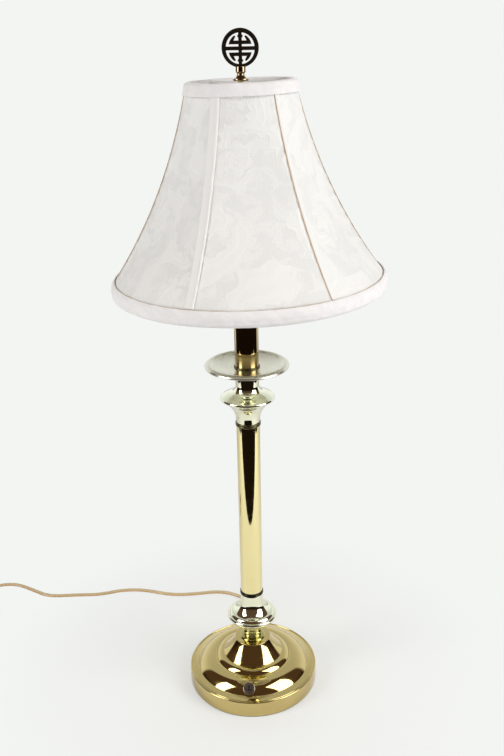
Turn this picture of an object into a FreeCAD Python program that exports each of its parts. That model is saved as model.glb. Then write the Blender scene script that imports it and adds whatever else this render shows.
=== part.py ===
import FreeCAD, Part
import math
import os
from FreeCAD import Vector

# A candlestick table lamp, in millimetres.  +Z is up, the table top is z = 0, and the origin is the
# middle of the base's underside.  The front is -Y.  Azimuths are in degrees from the front, growing
# towards +X.  Outlines of turned pieces are given as (radius, height).

# ---- driving dimensions -----------------------------------------------------------------------------
BASE_R = 75.0            # a 150 mm base
TUBE_R = 12.7            # column and candle tube are both 1 inch
TUBE_WALL = 1.0
PAN_R = 44.4             # a 3.5 inch drip pan
SHELL_T = 1.4            # spun brass
FELT_T = 1.5
RIM_Z = 20.2             # top of the base's upright rim
PLATE_Z = 37.0           # flat middle of the base, on a rounded step under the cone
CONE_TOP_Z = 57.2
KNOP_Z = (80.0, 117.0)
COLUMN_Z = (122.0, 331.0)
VASE_Z = (335.6, 396.6)
CANDLE_Z = (399.5, 474.0)
CAP_TOP_Z = 477.0        # what the harp saddle lies on
SOCKET_Z = 479.0

ROD_R = 4.85             # hollow threaded lamp pipe
ROD_BORE_R = 3.3
ROD_Z = (13.5, 491.5)
HOLE_R = 5.0             # every piece that is threaded on the pipe has this hole

DOME_CENTRE = (45.2, 8.7)    # the base's rounded shoulder, an arc about this point
DOME_R = 24.0
DOME_START = 33.0            # degrees above level where the shoulder leaves the ledge

SWITCH_AZ = -4.7             # push switch on the shoulder, just left of the front
SWITCH_TILT = 52.0           # its axis, above level
SWITCH_SEAT = -0.45          # flat seat, below the shoulder's surface
BUTTON_R = 2.6
BUTTON_TRAVEL = 2.2

HARP_X = 34.5                # half the spacing of the harp's legs
HARP_WIRE_R = 1.9
HARP_STOP_Z = 487.1          # the harp's feet stand here
HUB_Z = 680.8                # middle of the shade's hub, and the point that the shade leans about
SHADE_LEAN = 1.3             # degrees; the shade's top leans towards -X

BELL = ((51.8, 682.0), (84.8, 584.5), (134.3, 499.0))    # the fabric's outline at a rib is one arc
COVER_Z = (682.0, 497.5)
COVER_T = 0.8
RIB_AZIMUTHS = (-88.0, -22.5, 33.5, 99.0, 152.0, 219.0)  # wide and narrow panels in turn
RIB_R = 1.1
RIB_INSET = 2.4              # from the fabric's outside to the middle of a rib
LINING_INSET = 4.0
LINING_T = 0.5
TOP_RING = (49.6, 682.2, 1.2)        # ring radius, height, wire radius
BOTTOM_RING = (134.9, 490.5, 1.6)

CORD_R = 2.5                 # flat twin lead, 5 mm across
CORD_LENGTH = 1800.0
FLOOR_LIFT = 2.6             # height of the middle of a lead that lies on the table
EXIT_Z = 9.5                 # where the cord leaves the rim
BUSHING_END_Y = 96.2

COIL_CENTRE = (-404.0, 153.8)
COIL_R = (38.4, 19.9)        # outermost and innermost turn
COIL_TURNS = 3.25            # in each of two layers
COIL_Z = (3.6, 9.2)          # middle of the lead in each layer

FINIAL_Z = 681.8
MEDALLION_Z = 713.0
MEDALLION_R = 17.3
MEDALLION_T = 3.0

ORIGIN = Vector(0, 0, 0)
UP = Vector(0, 0, 1)
nodes = {}


# ---- helpers ----------------------------------------------------------------------------------------
class Outline:
    """A closed outline in the plane y = 0, drawn point by point, that can be turned into a solid."""

    def __init__(self, r, z):
        self.start = Vector(r, 0, z)
        self.here = self.start
        self.edges = []

    def to(self, *points):
        for r, z in points:
            there = Vector(r, 0, z)
            self.edges.append(Part.LineSegment(self.here, there).toShape())
            self.here = there
        return self

    def arc(self, middle, end):
        there = Vector(end[0], 0, end[1])
        self.edges.append(Part.Arc(self.here, Vector(middle[0], 0, middle[1]), there).toShape())
        self.here = there
        return self

    def face(self):
        if (self.here - self.start).Length > 1e-6:
            self.to((self.start.x, self.start.z))
        return Part.Face(Part.Wire(self.edges))

    def turned(self):
        return self.face().revolve(ORIGIN, UP, 360)

    def thick(self, width):
        """The outline as a plate of this width, centred on y = 0."""
        plate = self.face().extrude(Vector(0, width, 0))
        plate.translate(Vector(0, -width / 2, 0))
        return plate


def cylinder(r, z0, z1):
    return Part.makeCylinder(r, z1 - z0, Vector(0, 0, z0))


def tube(outer, inner, z0, z1):
    return cylinder(outer, z0, z1).cut(cylinder(inner, z0 - 1, z1 + 1))


def drilled(solid, r=HOLE_R):
    box = solid.BoundBox
    return solid.cut(cylinder(r, box.ZMin - 1, box.ZMax + 1))


def box(x, y, z):
    """A box from three (low, high) pairs."""
    return Part.makeBox(x[1] - x[0], y[1] - y[0], z[1] - z[0], Vector(x[0], y[0], z[0]))


def hexagon(across_flats, z0, z1):
    r = across_flats / 2 / math.cos(math.radians(30))
    corners = [Vector(r * math.cos(math.radians(60 * i)), r * math.sin(math.radians(60 * i)), z0)
               for i in range(7)]
    return Part.Face(Part.makePolygon(corners)).extrude(Vector(0, 0, z1 - z0))


def fused(pieces):
    whole = pieces[0].multiFuse(pieces[1:]) if len(pieces) > 1 else pieces[0]
    return whole.removeSplitter()


def placed(solid, azimuth):
    """A solid modelled in the plane y = 0, on the +X side, turned to an azimuth from the front."""
    turned = solid.copy()
    turned.rotate(ORIGIN, UP, azimuth - 90)
    return turned


def leaned(solid):
    """A piece of the shade, with the shade's lean about its hub."""
    tipped = solid.copy()
    tipped.rotate(Vector(0, 0, HUB_Z), Vector(0, 1, 0), -SHADE_LEAN)
    return tipped


def unit(v):
    return v * (1.0 / v.Length)


def swept(edges, r, tangent):
    """A round bar of radius r along tangent edges, starting in the direction of tangent."""
    path = Part.Wire(edges)
    start = edges[0].valueAt(edges[0].FirstParameter)
    profile = Part.Wire(Part.makeCircle(r, start, tangent))
    solid = Part.Wire(path).makePipeShell([profile], True, False)
    return solid if solid.ShapeType == "Solid" else solid.Solids[0]


def rounded_route(points):
    """Straight runs joined by tangent arcs, each arc as large as its two runs allow."""
    edges = []
    radii = []
    here = points[0]
    for before, corner, after in zip(points, points[1:], points[2:]):
        back = unit(before - corner)
        onward = unit(after - corner)
        turn = math.pi - math.acos(max(-1.0, min(1.0, back.dot(onward))))
        reach = 0.45 * min((before - corner).Length, (after - corner).Length)
        radius = reach / math.tan(turn / 2)
        first = corner + back * reach
        last = corner + onward * reach
        bisector = unit(back + onward)
        middle = corner + bisector * (math.hypot(radius, reach) - radius)
        edges.append(Part.LineSegment(here, first).toShape())
        edges.append(Part.Arc(first, middle, last).toShape())
        radii.append(radius)
        here = last
    edges.append(Part.LineSegment(here, points[-1]).toShape())
    return edges, radii


def bar_along(points, r, name):
    """A round bar along a rounded route; prints its radii, length and volume."""
    edges, radii = rounded_route(points)
    solid = swept(edges, r, unit(points[1] - points[0]))
    length = sum(e.Length for e in edges)
    print(f"{name}: length {length:.1f}, radii {[round(x, 1) for x in radii]}, "
          f"volume {solid.Volume:.0f} against {math.pi * r * r * length:.0f}")
    return solid, length


# ---- the shade's bell outline -----------------------------------------------------------------------
def circle_through(a, b, c):
    """Centre and radius of the circle through three (r, z) points."""
    d = 2 * (a[0] * (b[1] - c[1]) + b[0] * (c[1] - a[1]) + c[0] * (a[1] - b[1]))
    squares = [p[0] ** 2 + p[1] ** 2 for p in (a, b, c)]
    r = (squares[0] * (b[1] - c[1]) + squares[1] * (c[1] - a[1]) + squares[2] * (a[1] - b[1])) / d
    z = (squares[0] * (c[0] - b[0]) + squares[1] * (a[0] - c[0]) + squares[2] * (b[0] - a[0])) / d
    return (r, z), math.hypot(a[0] - r, a[1] - z)


BELL_CENTRE, BELL_R = circle_through(*BELL)


def bell(z, inset=0.0):
    """Radius of the bell at height z, moved inwards by inset square to the fabric."""
    return BELL_CENTRE[0] - math.sqrt((BELL_R + inset) ** 2 - (z - BELL_CENTRE[1]) ** 2)


def bell_section(z, inset):
    """The bell's level section: round at the rings and nearly flat between the ribs half-way."""
    t = (COVER_Z[0] - z) / (COVER_Z[0] - COVER_Z[1])
    fullness = 1.0 - 0.8 * math.sin(math.pi * min(1.0, max(0.0, t))) ** 0.7
    r = bell(z, inset)
    edges = []
    for start, end in zip(RIB_AZIMUTHS, RIB_AZIMUTHS[1:] + (RIB_AZIMUTHS[0] + 360,)):
        half = math.radians(end - start) / 2
        mid_r = r * (math.cos(half) + fullness * (1 - math.cos(half)))
        corners = []
        for azimuth, radius in ((start, r), ((start + end) / 2, mid_r), (end, r)):
            a = math.radians(azimuth)
            corners.append(Vector(radius * math.sin(a), -radius * math.cos(a), z))
        edges.append(Part.Arc(*corners).toShape())
    return Part.Wire(edges)


def bell_shell(z_top, z_bottom, inset, thickness, steps=10):
    """A fabric skin of the bell, open at both ends."""
    def loft(depth, beyond):
        heights = [z_top + beyond + (z_bottom - z_top - 2 * beyond) * i / steps for i in range(steps + 1)]
        return Part.makeLoft([bell_section(z, depth) for z in heights], True, False)
    return loft(inset, 0.0).cut(loft(inset + thickness, 0.4))


# ---- base -------------------------------------------------------------------------------------------
def on_dome(radius, degrees):
    a = math.radians(degrees)
    return (DOME_CENTRE[0] + radius * math.cos(a), DOME_CENTRE[1] + radius * math.sin(a))


def switch_frame(solid):
    """A piece of the switch, modelled along +Z with z = 0 at the shoulder's surface, in its place."""
    r, z = on_dome(DOME_R, SWITCH_TILT)
    set_in = solid.copy()
    set_in.rotate(ORIGIN, Vector(0, 1, 0), 90 - SWITCH_TILT)
    set_in.translate(Vector(r, 0, z))
    return placed(set_in, SWITCH_AZ)


def base():
    nodes["base_felt_pad"] = cylinder(BASE_R - 1.2, 0, FELT_T)

    outside = (Outline(0, FELT_T)
               .to((BASE_R, FELT_T), (BASE_R, RIM_Z - 1.2))
               .arc((BASE_R - 0.35, RIM_Z - 0.35), (BASE_R - 1.2, RIM_Z))
               .to((73.0, RIM_Z), (72.6, RIM_Z - 0.5), (72.1, RIM_Z - 0.1))
               .arc((68.7, 20.8), (65.5, 21.75))
               .to(on_dome(DOME_R, DOME_START))
               .arc(on_dome(DOME_R, 60), on_dome(DOME_R, 90))
               .arc((44.2, 32.55), (43.2, 32.2))
               .arc((40.7, 35.1), (35.6, PLATE_Z))
               .to((0, PLATE_Z)).turned())
    inner_r = DOME_R - SHELL_T
    inside = (Outline(0, FELT_T - 1)
              .to((BASE_R - SHELL_T, FELT_T - 1), (BASE_R - SHELL_T, RIM_Z - SHELL_T),
                  (71.4, RIM_Z - SHELL_T), (65.2, 20.2), on_dome(inner_r, DOME_START))
              .arc(on_dome(inner_r, 60), on_dome(inner_r, 90))
              .to((43.4, 30.8), (39.8, 33.6), (35.2, PLATE_Z - SHELL_T), (0, PLATE_Z - SHELL_T)).turned())
    seat = switch_frame(cylinder(7.2, SWITCH_SEAT, 5))
    switch_hole = switch_frame(cylinder(5.2, -6, 6))
    cord_hole = Part.makeCylinder(4.7, 12, Vector(0, BASE_R - 8, EXIT_Z), Vector(0, 1, 0))
    nodes["base_shell"] = drilled(outside.cut(inside)).cut(fused([seat, switch_hole])).cut(cord_hole)

    weight_top = PLATE_Z - SHELL_T
    weight = (Outline(HOLE_R, 20).to((13, 20), (13, FELT_T + 0.1), (69, FELT_T + 0.1), (70.5, 3.5), (70.5, 9),
                                     (69, 11), (22, 11), (18, 15), (18, weight_top),
                                     (HOLE_R, weight_top)).turned())
    pocket = switch_frame(cylinder(10, -30, 0))
    cord_slot = box((-4.5, 4.5), (9, 76), (FELT_T, 13.5))
    lead_slot = placed(box((9, 60), (-4, 4), (6, 16)), SWITCH_AZ)
    nodes["base_weight"] = weight.cut(fused([pocket, lead_slot])).cut(cord_slot)
    nodes["base_washer"] = tube(11, HOLE_R, 19.0, 20.0)
    nodes["base_locknut"] = drilled(hexagon(16, 15.0, 19.0))

    nodes["threaded_rod"] = tube(ROD_R, ROD_BORE_R, *ROD_Z)


def switch():
    nodes["switch_body"] = switch_frame(
        cylinder(8.5, -17.2, -3.2).cut(cylinder(BUTTON_R + 0.35, -6.6, -3)))
    nodes["switch_bushing"] = switch_frame(tube(4.9, BUTTON_R + 0.35, -3.2, 2.3))
    nut = (Outline(4.9, SWITCH_SEAT).to((7.0, SWITCH_SEAT), (7.0, 0.9))
           .arc((6.7, 1.4), (6.0, 1.6)).to((4.9, 1.6)).turned())
    flutes = [Part.makeCylinder(0.35, 4, Vector(7.1 * math.cos(math.radians(a)),
                                                7.1 * math.sin(math.radians(a)), -1))
              for a in range(0, 360, 15)]
    nodes["switch_ring_nut"] = switch_frame(nut.cut(fused(flutes)))
    button = (Outline(0, -3.9).to((BUTTON_R, -3.9), (BUTTON_R, 3.4))
              .arc((1.9, 3.95), (0.8, 4.2)).to((0, 4.2)).turned())
    nodes["switch_button"] = switch_frame(button)

    # Two leads run from the back of the switch to the middle of the base.
    back_r, back_z = on_dome(DOME_R - 17.2, SWITCH_TILT)
    leads = []
    for side in (-2.5, 2.5):
        route = [Vector(back_r, side, back_z), Vector(back_r - 4, side, back_z - 5.1),
                 Vector(34, side, 8.5), Vector(14, side, 8.5)]
        lead, _ = bar_along(route, 0.9, "switch lead")
        leads.append(placed(lead, SWITCH_AZ))
    nodes["switch_leads"] = Part.makeCompound(leads)


# ---- stem -------------------------------------------------------------------------------------------
def stem():
    cone_outside = (Outline(0, PLATE_Z).to((34.8, PLATE_Z), (34.8, 37.6))
                    .arc((27.2, 46.6), (20.9, 56.6))
                    .arc((20.75, 57.0), (20.3, CONE_TOP_Z)).to((0, CONE_TOP_Z)).turned())
    cone_inside = (Outline(0, PLATE_Z - 1).to((33.0, PLATE_Z - 1), (33.0, 37.4))
                   .arc((25.6, 46.0), (19.4, CONE_TOP_Z - SHELL_T))
                   .to((0, CONE_TOP_Z - SHELL_T)).turned())
    nodes["base_cone"] = drilled(cone_outside.cut(cone_inside))

    # The neck spindle: a foot, two beads, a hollow and a collar under the knop.
    nodes["neck_spindle"] = (Outline(HOLE_R, CONE_TOP_Z).to((14.6, CONE_TOP_Z), (14.6, 58.0))
                             .arc((13.8, 58.9), (12.4, 59.2)).to((10.6, 59.6))
                             .arc((11.3, 60.9), (10.4, 62.2))
                             .arc((11.5, 64.4), (10.3, 66.6))
                             .to((9.6, 67.2))
                             .arc((9.4, 68.2), (10.0, 69.2))
                             .arc((11.3, 70.0), (11.6, 71.4))
                             .to((11.8, KNOP_Z[0]), (HOLE_R, KNOP_Z[0])).turned())

    # The knop is a hollow, flattened ball of two beads and a dome, drawn in to a neck.
    knop = (Outline(HOLE_R, KNOP_Z[0]).to((13.0, KNOP_Z[0]))
            .arc((22.3, 82.2), (27.9, 86.0))
            .arc((28.7, 88.0), (26.8, 90.3)).to((26.0, 90.6))
            .arc((24.8, 92.5), (22.1, 93.7)).to((21.5, 94.0))
            .arc((18.4, 96.2), (15.7, 99.2))
            .arc((13.6, 103.4), (12.9, 108.5))
            .to((12.7, KNOP_Z[1]), (HOLE_R, KNOP_Z[1])).turned())
    knop_hollow = (Outline(7.5, 82.6).to((14.0, 82.6)).arc((21.0, 84.2), (25.2, 87.2))
                   .to((24.0, 89.2), (19.4, 92.4)).arc((15.8, 95.4), (12.8, 99.4))
                   .to((10.6, 105), (10.6, 114), (7.5, 114)).turned())
    nodes["lower_knop"] = knop.cut(knop_hollow)

    low, high = COLUMN_Z
    spigot_r = TUBE_R - TUBE_WALL - 0.1
    nodes["lower_check_ring"] = (Outline(HOLE_R, KNOP_Z[1]).to((12.5, KNOP_Z[1]))
                                 .arc((13.45, 118.3), (12.7, 119.6))
                                 .arc((13.35, 120.7), (12.8, low))
                                 .to((spigot_r, low), (spigot_r, low + 3), (HOLE_R, low + 3)).turned())
    nodes["column_tube"] = tube(TUBE_R, TUBE_R - TUBE_WALL, low, high)
    nodes["upper_check_ring"] = (Outline(HOLE_R, high - 3).to((spigot_r, high - 3), (spigot_r, high),
                                                              (13.0, high))
                                 .arc((13.75, 332.2), (13.0, 333.3))
                                 .arc((13.8, 334.4), (13.1, VASE_Z[0]))
                                 .to((HOLE_R, VASE_Z[0])).turned())

    # The upper vase is hollow: a flared foot, a rounded flange, and the neck under the pan.
    vase = (Outline(HOLE_R, VASE_Z[0]).to((12.9, VASE_Z[0]), (13.1, 341.0))
            .arc((17.5, 351.6), (27.2, 361.0))
            .arc((29.0, 362.9), (27.2, 365.0))
            .arc((23.4, 366.9), (19.2, 368.3))
            .arc((14.4, 371.6), (12.5, 378.5))
            .to((12.2, VASE_Z[1]), (HOLE_R, VASE_Z[1])).turned())
    vase_hollow = (Outline(7.5, 338.0).to((10.8, 338.0), (11.0, 342.0)).arc((15.2, 353.0), (22.8, 360.8))
                   .to((24.6, 362.8), (18.4, 366.0)).arc((13.2, 369.4), (10.5, 378.0))
                   .to((10.2, 393.0), (7.5, 393.0)).turned())
    nodes["upper_vase"] = vase.cut(vase_hollow)

    # The drip pan is spun sheet: a shallow dish inside a rounded, rolled rim.
    nodes["drip_pan"] = (Outline(HOLE_R, VASE_Z[1]).to((13.0, VASE_Z[1]))
                         .arc((26.0, 397.5), (36.6, 399.6))
                         .arc((40.6, 400.6), (43.3, 398.6))
                         .arc((44.3, 398.7), (PAN_R, 399.9))
                         .arc((41.6, 402.4), (37.2, 401.5))
                         .to((36.3, 400.9))
                         .arc((26.0, 398.8), (14.0, 398.0))
                         .to((HOLE_R, 398.0)).turned())
    nodes["candle_seat_ring"] = (Outline(HOLE_R, 398.0).to((13.9, 398.0), (13.9, 398.9))
                                 .arc((13.7, 399.3), (13.3, CANDLE_Z[0]))
                                 .to((HOLE_R, CANDLE_Z[0])).turned())
    nodes["candle_tube"] = tube(TUBE_R, TUBE_R - TUBE_WALL, *CANDLE_Z)
    top = CANDLE_Z[1]
    nodes["candle_cap"] = (Outline(HOLE_R, top - 4).to((spigot_r, top - 4), (spigot_r, top), (13.2, top))
                           .arc((13.6, 475.2), (12.8, 476.4)).to((12.2, CAP_TOP_Z), (HOLE_R, CAP_TOP_Z))
                           .turned())


# ---- socket and bulb --------------------------------------------------------------------------------
def socket():
    # Harp saddle: a flat bar with upturned arms that end in narrow tongues.
    x = HARP_X + 1.0
    inner = HARP_X - 1.0
    saddle = (Outline(-30.5, CAP_TOP_Z).to((30.5, CAP_TOP_Z), (x, 482), (x, 497), (inner, 497),
                                          (inner, 482.8), (29.7, SOCKET_Z), (-29.7, SOCKET_Z),
                                          (-inner, 482.8), (-inner, 497), (-x, 497), (-x, 482))
              .thick(14))
    for y in ((-8, -2), (2, 8)):
        saddle = saddle.cut(box((-40, 40), y, (487, 500)))
    nodes["harp_saddle"] = drilled(saddle)

    nodes["socket_cap"] = (Outline(HOLE_R, SOCKET_Z).to((8, SOCKET_Z), (8, 483), (9.5, 484.5))
                           .arc((15.0, 487.5), (17.2, 493)).to((17.2, 499), (16.4, 499), (16.4, 493.4))
                           .arc((14.3, 488.3), (9.0, 485.4)).to((HOLE_R, 485.4)).turned())
    nodes["socket_shell"] = (Outline(15.7, 494.2).to((16.35, 494.2), (16.35, 538.4))
                             .arc((17.0, 539.2), (16.35, 540)).to((15.7, 540)).turned())
    nodes["socket_insulator"] = tube(15.65, 15.1, 496, 538.5)
    nodes["socket_body"] = fused([cylinder(13.4, 499, 508), cylinder(14.4, 508, 514)])
    nodes["socket_screw_shell"] = (Outline(9, 514).to((13.9, 514), (13.9, 537), (13.5, 537),
                                                      (13.5, 514.5), (9, 514.5)).turned())
    nodes["socket_contact"] = box((-6, 6), (-2, 2), (514, 515.2))

    nodes["bulb_contact"] = (Outline(0, 515.5).to((3.5, 515.5), (4.5, 517.2), (0, 517.2)).turned())
    nodes["bulb_cap"] = (Outline(0, 517.2).to((5, 517.2), (10.5, 519.5), (13.1, 520.5), (13.1, 541.5),
                                              (12.6, 541.5), (12.6, 521.5), (5, 519.5), (0, 519.5))
                         .turned())
    glass_outside = (Outline(0, 536).to((12.5, 536), (12.5, 541.5), (13.2, 543))
                     .arc((16.6, 562), (25.2, 578)).arc((28.9, 590.5), (27.4, 602))
                     .arc((20.1, 616.0), (3.0, 623.0)).to((0, 623.0)).turned())
    glass_inside = (Outline(0, 535).to((11.6, 535), (11.6, 543))
                    .arc((15.6, 562.6), (24.3, 578.6)).arc((27.9, 590.5), (26.4, 601.6))
                    .arc((19.4, 615.1), (3.0, 622.0)).to((0, 622.0)).turned())
    nodes["bulb_glass"] = glass_outside.cut(glass_inside)
    posts = [Part.makeCylinder(0.5, 36, Vector(s * 3, 0, 552), Vector(s * 0.25, 0, 1)) for s in (-1, 1)]
    coil = Part.makeCylinder(0.6, 24, Vector(-12, 0, 586), Vector(1, 0, 0))
    nodes["bulb_stem"] = fused([cylinder(4.5, 521, 552.5), coil] + posts)


# ---- harp -------------------------------------------------------------------------------------------
def harp():
    for side, name in ((-1, "left"), (1, "right")):
        route = [(HARP_X, 499.4), (HARP_X, 524), (50, 556), (52.5, 604), (39, 645), (20, 675.5), (6, 675.5)]
        points = [Vector(side * x, 0, z) for x, z in route]
        wire, _ = bar_along(points, HARP_WIRE_R, "harp leg")
        foot = Part.makeCylinder(3.3, 499.4 - HARP_STOP_Z, Vector(side * HARP_X, 0, HARP_STOP_Z))
        middle = side * HARP_X
        slot = box((middle - 1.35, middle + 1.35), (-2.35, 2.35), (HARP_STOP_Z - 1, 497.5))
        nodes["harp_leg_" + name] = fused([wire, foot.cut(slot)])
        sleeve = tube(4.6, 3.65, 487.15, 499.0)
        sleeve.translate(Vector(middle, 0, 0))
        nodes["harp_sleeve_" + name] = sleeve
    block = box((-6, 6), (-4.5, 4.5), (671.5, 678.8)).common(cylinder(6.6, 671.5, 678.8))
    flanks = box((-6, 6), (-2.5, 2.5), (673, 678))
    nodes["harp_stud"] = fused([block, flanks, cylinder(6.2, 678.8, 679.8), cylinder(3.0, 679.8, 686.0)])


# ---- shade ------------------------------------------------------------------------------------------
def ring(dims):
    major, z, minor = dims
    return Part.makeTorus(major, minor, Vector(0, 0, z))


def bell_point(z, inset):
    return Vector(bell(z, inset), 0, z)


def bell_arc(z_top, z_bottom, inset):
    """An arc that follows the bell at a steady inset, in the plane y = 0."""
    points = [bell_point(z, inset) for z in (z_top, (z_top + z_bottom) / 2, z_bottom)]
    return Part.Arc(*points).toShape(), points


def along_bell(z_top, z_bottom, inset, r):
    edge, points = bell_arc(z_top, z_bottom, inset)
    return swept([edge], r, edge.tangentAt(edge.FirstParameter)), points


def shade_frame():
    ring_r, ring_z, ring_wire = TOP_RING
    arms = []
    for azimuth in RIB_AZIMUTHS[1::2]:
        start = Vector(8.0, 0, HUB_Z)
        end = Vector(ring_r - 0.6, 0, ring_z)
        arm = Part.makeCylinder(1.6, (end - start).Length, start, end - start)
        arms.append(placed(arm, azimuth))
    hub = cylinder(8.6, HUB_Z - 0.6, HUB_Z + 0.6)
    top_ring = ring(TOP_RING)
    spider = drilled(fused([hub] + arms), 3.6).cut(top_ring)
    nodes["shade_spider"] = leaned(spider)
    nodes["shade_top_ring"] = leaned(top_ring)
    bottom_ring = ring(BOTTOM_RING)
    nodes["shade_bottom_ring"] = leaned(bottom_ring)

    ribs = []
    for azimuth in RIB_AZIMUTHS:
        wire, points = along_bell(ring_z - 0.9, 497.5, RIB_INSET, RIB_R)
        foot = points[2]
        target = Vector(BOTTOM_RING[0], 0, BOTTOM_RING[1])
        reach = target - foot
        tail = Part.makeCylinder(RIB_R, reach.Length, foot, reach)
        knuckle = Part.makeSphere(RIB_R, foot)
        rib = fused([wire, knuckle, tail]).cut(top_ring).cut(bottom_ring)
        rib = placed(max(rib.Solids, key=lambda s: s.Volume), azimuth).cut(spider)
        ribs.append(max(rib.Solids, key=lambda s: s.Volume))
    nodes["shade_ribs"] = leaned(Part.makeCompound(ribs))
    return arms


def shade_fabric(arms):
    nodes["shade_cover"] = leaned(bell_shell(COVER_Z[0], COVER_Z[1], 0.0, COVER_T))
    nodes["shade_lining"] = leaned(bell_shell(679.5, 497.5, LINING_INSET, LINING_T))

    # The top trim folds over the top ring, and the bottom trim is a padded roll round the bottom ring.
    top = (Outline(54.8, 671.0).to((56.4, 671.0))
           .arc((55.4, 677.3), (53.4, 683.0)).arc((50.5, 684.7), (47.4, 683.9))
           .arc((46.4, 682.4), (46.0, 680.5)).to((46.0, 676.0), (46.7, 676.0), (46.7, 680.5))
           .arc((47.3, 682.6), (48.4, 683.7)).to((52.2, 683.7), (52.4, 682.0)).turned())
    nodes["shade_top_trim"] = leaned(top.cut(Part.makeCompound(arms)))

    bottom = (Outline(135.6, 497.4).to((134.8, 499.1), (135.8, 499.5))
              .arc((138.8, 495.2), (139.2, 489.6)).arc((138.0, 485.6), (134.7, 484.0))
              .arc((130.7, 485.0), (129.0, 488.6)).to((129.0, 496.6), (129.9, 496.6), (130.1, 492.4),
                                                     (136.2, 492.4)).turned())
    cavity = Part.makeTorus(BOTTOM_RING[0], BOTTOM_RING[2] + 0.05, Vector(0, 0, BOTTOM_RING[1]))
    nodes["shade_bottom_trim"] = leaned(bottom.cut(cavity)).cut(nodes["shade_ribs"])

    cords = []
    for azimuth in RIB_AZIMUTHS:
        cord, _ = along_bell(670.4, 500.2, -0.75, 0.65)
        cords.append(placed(cord, azimuth))
    nodes["shade_piping"] = leaned(Part.makeCompound(cords))


# ---- finial -----------------------------------------------------------------------------------------
def fret_quarter():
    """One hooked arm of the medallion's fret, up and to the right of its middle."""
    return (Outline(1.0, 3.9).to((10.1, 3.9)).arc((8.3, 8.1), (4.9, 11.2))
            .to((4.1, 10.5), (6.4, 7.0), (6.4, 6.4), (1.0, 6.4)).thick(MEDALLION_T))


def finial():
    pieces = [Outline(-13.95, -1.45).to((13.95, -1.45), (13.95, 1.45), (-13.95, 1.45)).thick(MEDALLION_T),
              Outline(-1.15, -13.95).to((1.15, -13.95), (1.15, 13.95), (-1.15, 13.95)).thick(MEDALLION_T)]
    rim = Part.makeCylinder(MEDALLION_R, MEDALLION_T, Vector(0, -MEDALLION_T / 2, 0), Vector(0, 1, 0))
    hole = Part.makeCylinder(13.8, MEDALLION_T, Vector(0, -MEDALLION_T / 2, 0), Vector(0, 1, 0))
    pieces.append(rim.cut(hole))
    for z in (-11.3, 11.3):
        pieces.append(Outline(-2.6, z).to((0, z - 2.1), (2.6, z), (0, z + 2.1)).thick(MEDALLION_T))
    quarter = fret_quarter()
    half = [quarter, quarter.mirror(ORIGIN, Vector(1, 0, 0))]
    pieces += half + [q.mirror(ORIGIN, Vector(0, 0, 1)) for q in half]
    medallion = fused(pieces)
    medallion.translate(Vector(0, 0, MEDALLION_Z))
    nodes["finial_medallion"] = medallion

    stem_solid = (Outline(3.35, FINIAL_Z).to((7.1, FINIAL_Z), (7.1, 684.4), (5.4, 684.6))
                  .arc((4.5, 686.6), (3.4, 688.4)).to((3.4, 690.0))
                  .arc((3.7, 691.2), (4.5, 691.9)).to((4.5, 696.8), (0, 696.8), (0, 686.4),
                                                     (3.35, 686.4)).turned())
    nodes["finial_stem"] = stem_solid.cut(medallion)


# ---- cord -------------------------------------------------------------------------------------------
COIL_ENTRY_Y = COIL_CENTRE[1] + COIL_R[0] + 0.7
PLUG_Z = 7.0                 # middle of the plug, which lies flat

# The lead that lies free on the table, from the strain relief to the coil.
LEAD_ROUTE = (
    (0, BUSHING_END_Y, EXIT_Z), (0, 109, EXIT_Z), (-0.5, 124, 5.0), (-3, 139, 2.7), (-14, 157, FLOOR_LIFT),
    (-44, 171, FLOOR_LIFT), (-79, 165, FLOOR_LIFT), (-113, 164, FLOOR_LIFT), (-150, 177, FLOOR_LIFT),
    (-181, 178, FLOOR_LIFT), (-211, 168, FLOOR_LIFT), (-246, 168, FLOOR_LIFT), (-283, 166, FLOOR_LIFT),
    (-306, 181, FLOOR_LIFT), (-337, 199, FLOOR_LIFT), (-367, COIL_ENTRY_Y, COIL_Z[0]),
    (COIL_CENTRE[0] + 5, COIL_ENTRY_Y, COIL_Z[0]),
)


def biarc(p0, t0, p1, t1):
    """Two arcs that join two points and leave them along unit tangents."""
    v = p1 - p0
    t = t0 + t1
    k = 2 * (1 - t0.dot(t1))
    if k < 1e-9:
        d = v.dot(v) / (4 * v.dot(t1))
    else:
        d = (-v.dot(t) + math.sqrt(v.dot(t) ** 2 + k * v.dot(v))) / k
    joint = (p0 + t0 * d + p1 - t1 * d) * 0.5
    return [arc_from(p0, t0, joint), arc_from(p1, t1 * -1, joint, True)]


def arc_from(start, tangent, end, backwards=False):
    """The arc that leaves start along tangent and reaches end, or the same arc from end to start."""
    chord = end - start
    normal = unit(chord.cross(tangent).cross(chord))
    if normal.dot(tangent) < 0:
        normal = normal * -1
    angle = math.acos(max(-1.0, min(1.0, unit(chord).dot(tangent))))
    middle = start + chord * 0.5 + normal * (chord.Length / 2 * math.tan(angle / 2))
    if backwards:
        return Part.Arc(end, middle, start).toShape()
    return Part.Arc(start, middle, end).toShape()


def coil_point(turn):
    """Middle of the lead after so many turns: in along the lower layer, up, and out along the upper."""
    outer, inner = COIL_R
    pitch = (outer - inner) / COIL_TURNS
    if turn <= COIL_TURNS:
        r = outer - pitch * turn
        z = COIL_Z[0]
    elif turn <= COIL_TURNS + 0.5:
        half = (turn - COIL_TURNS) / 0.5
        r = inner - pitch * 0.5 * half * (1 - half)
        z = COIL_Z[0] + (COIL_Z[1] - COIL_Z[0]) * (0.5 - 0.5 * math.cos(math.pi * half))
    else:
        r = inner + pitch * (turn - COIL_TURNS - 0.5)
        z = COIL_Z[1]
    a = math.pi / 2 + 2 * math.pi * turn
    return Vector(COIL_CENTRE[0] + r * math.cos(a), COIL_CENTRE[1] + r * math.sin(a), z)


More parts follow.
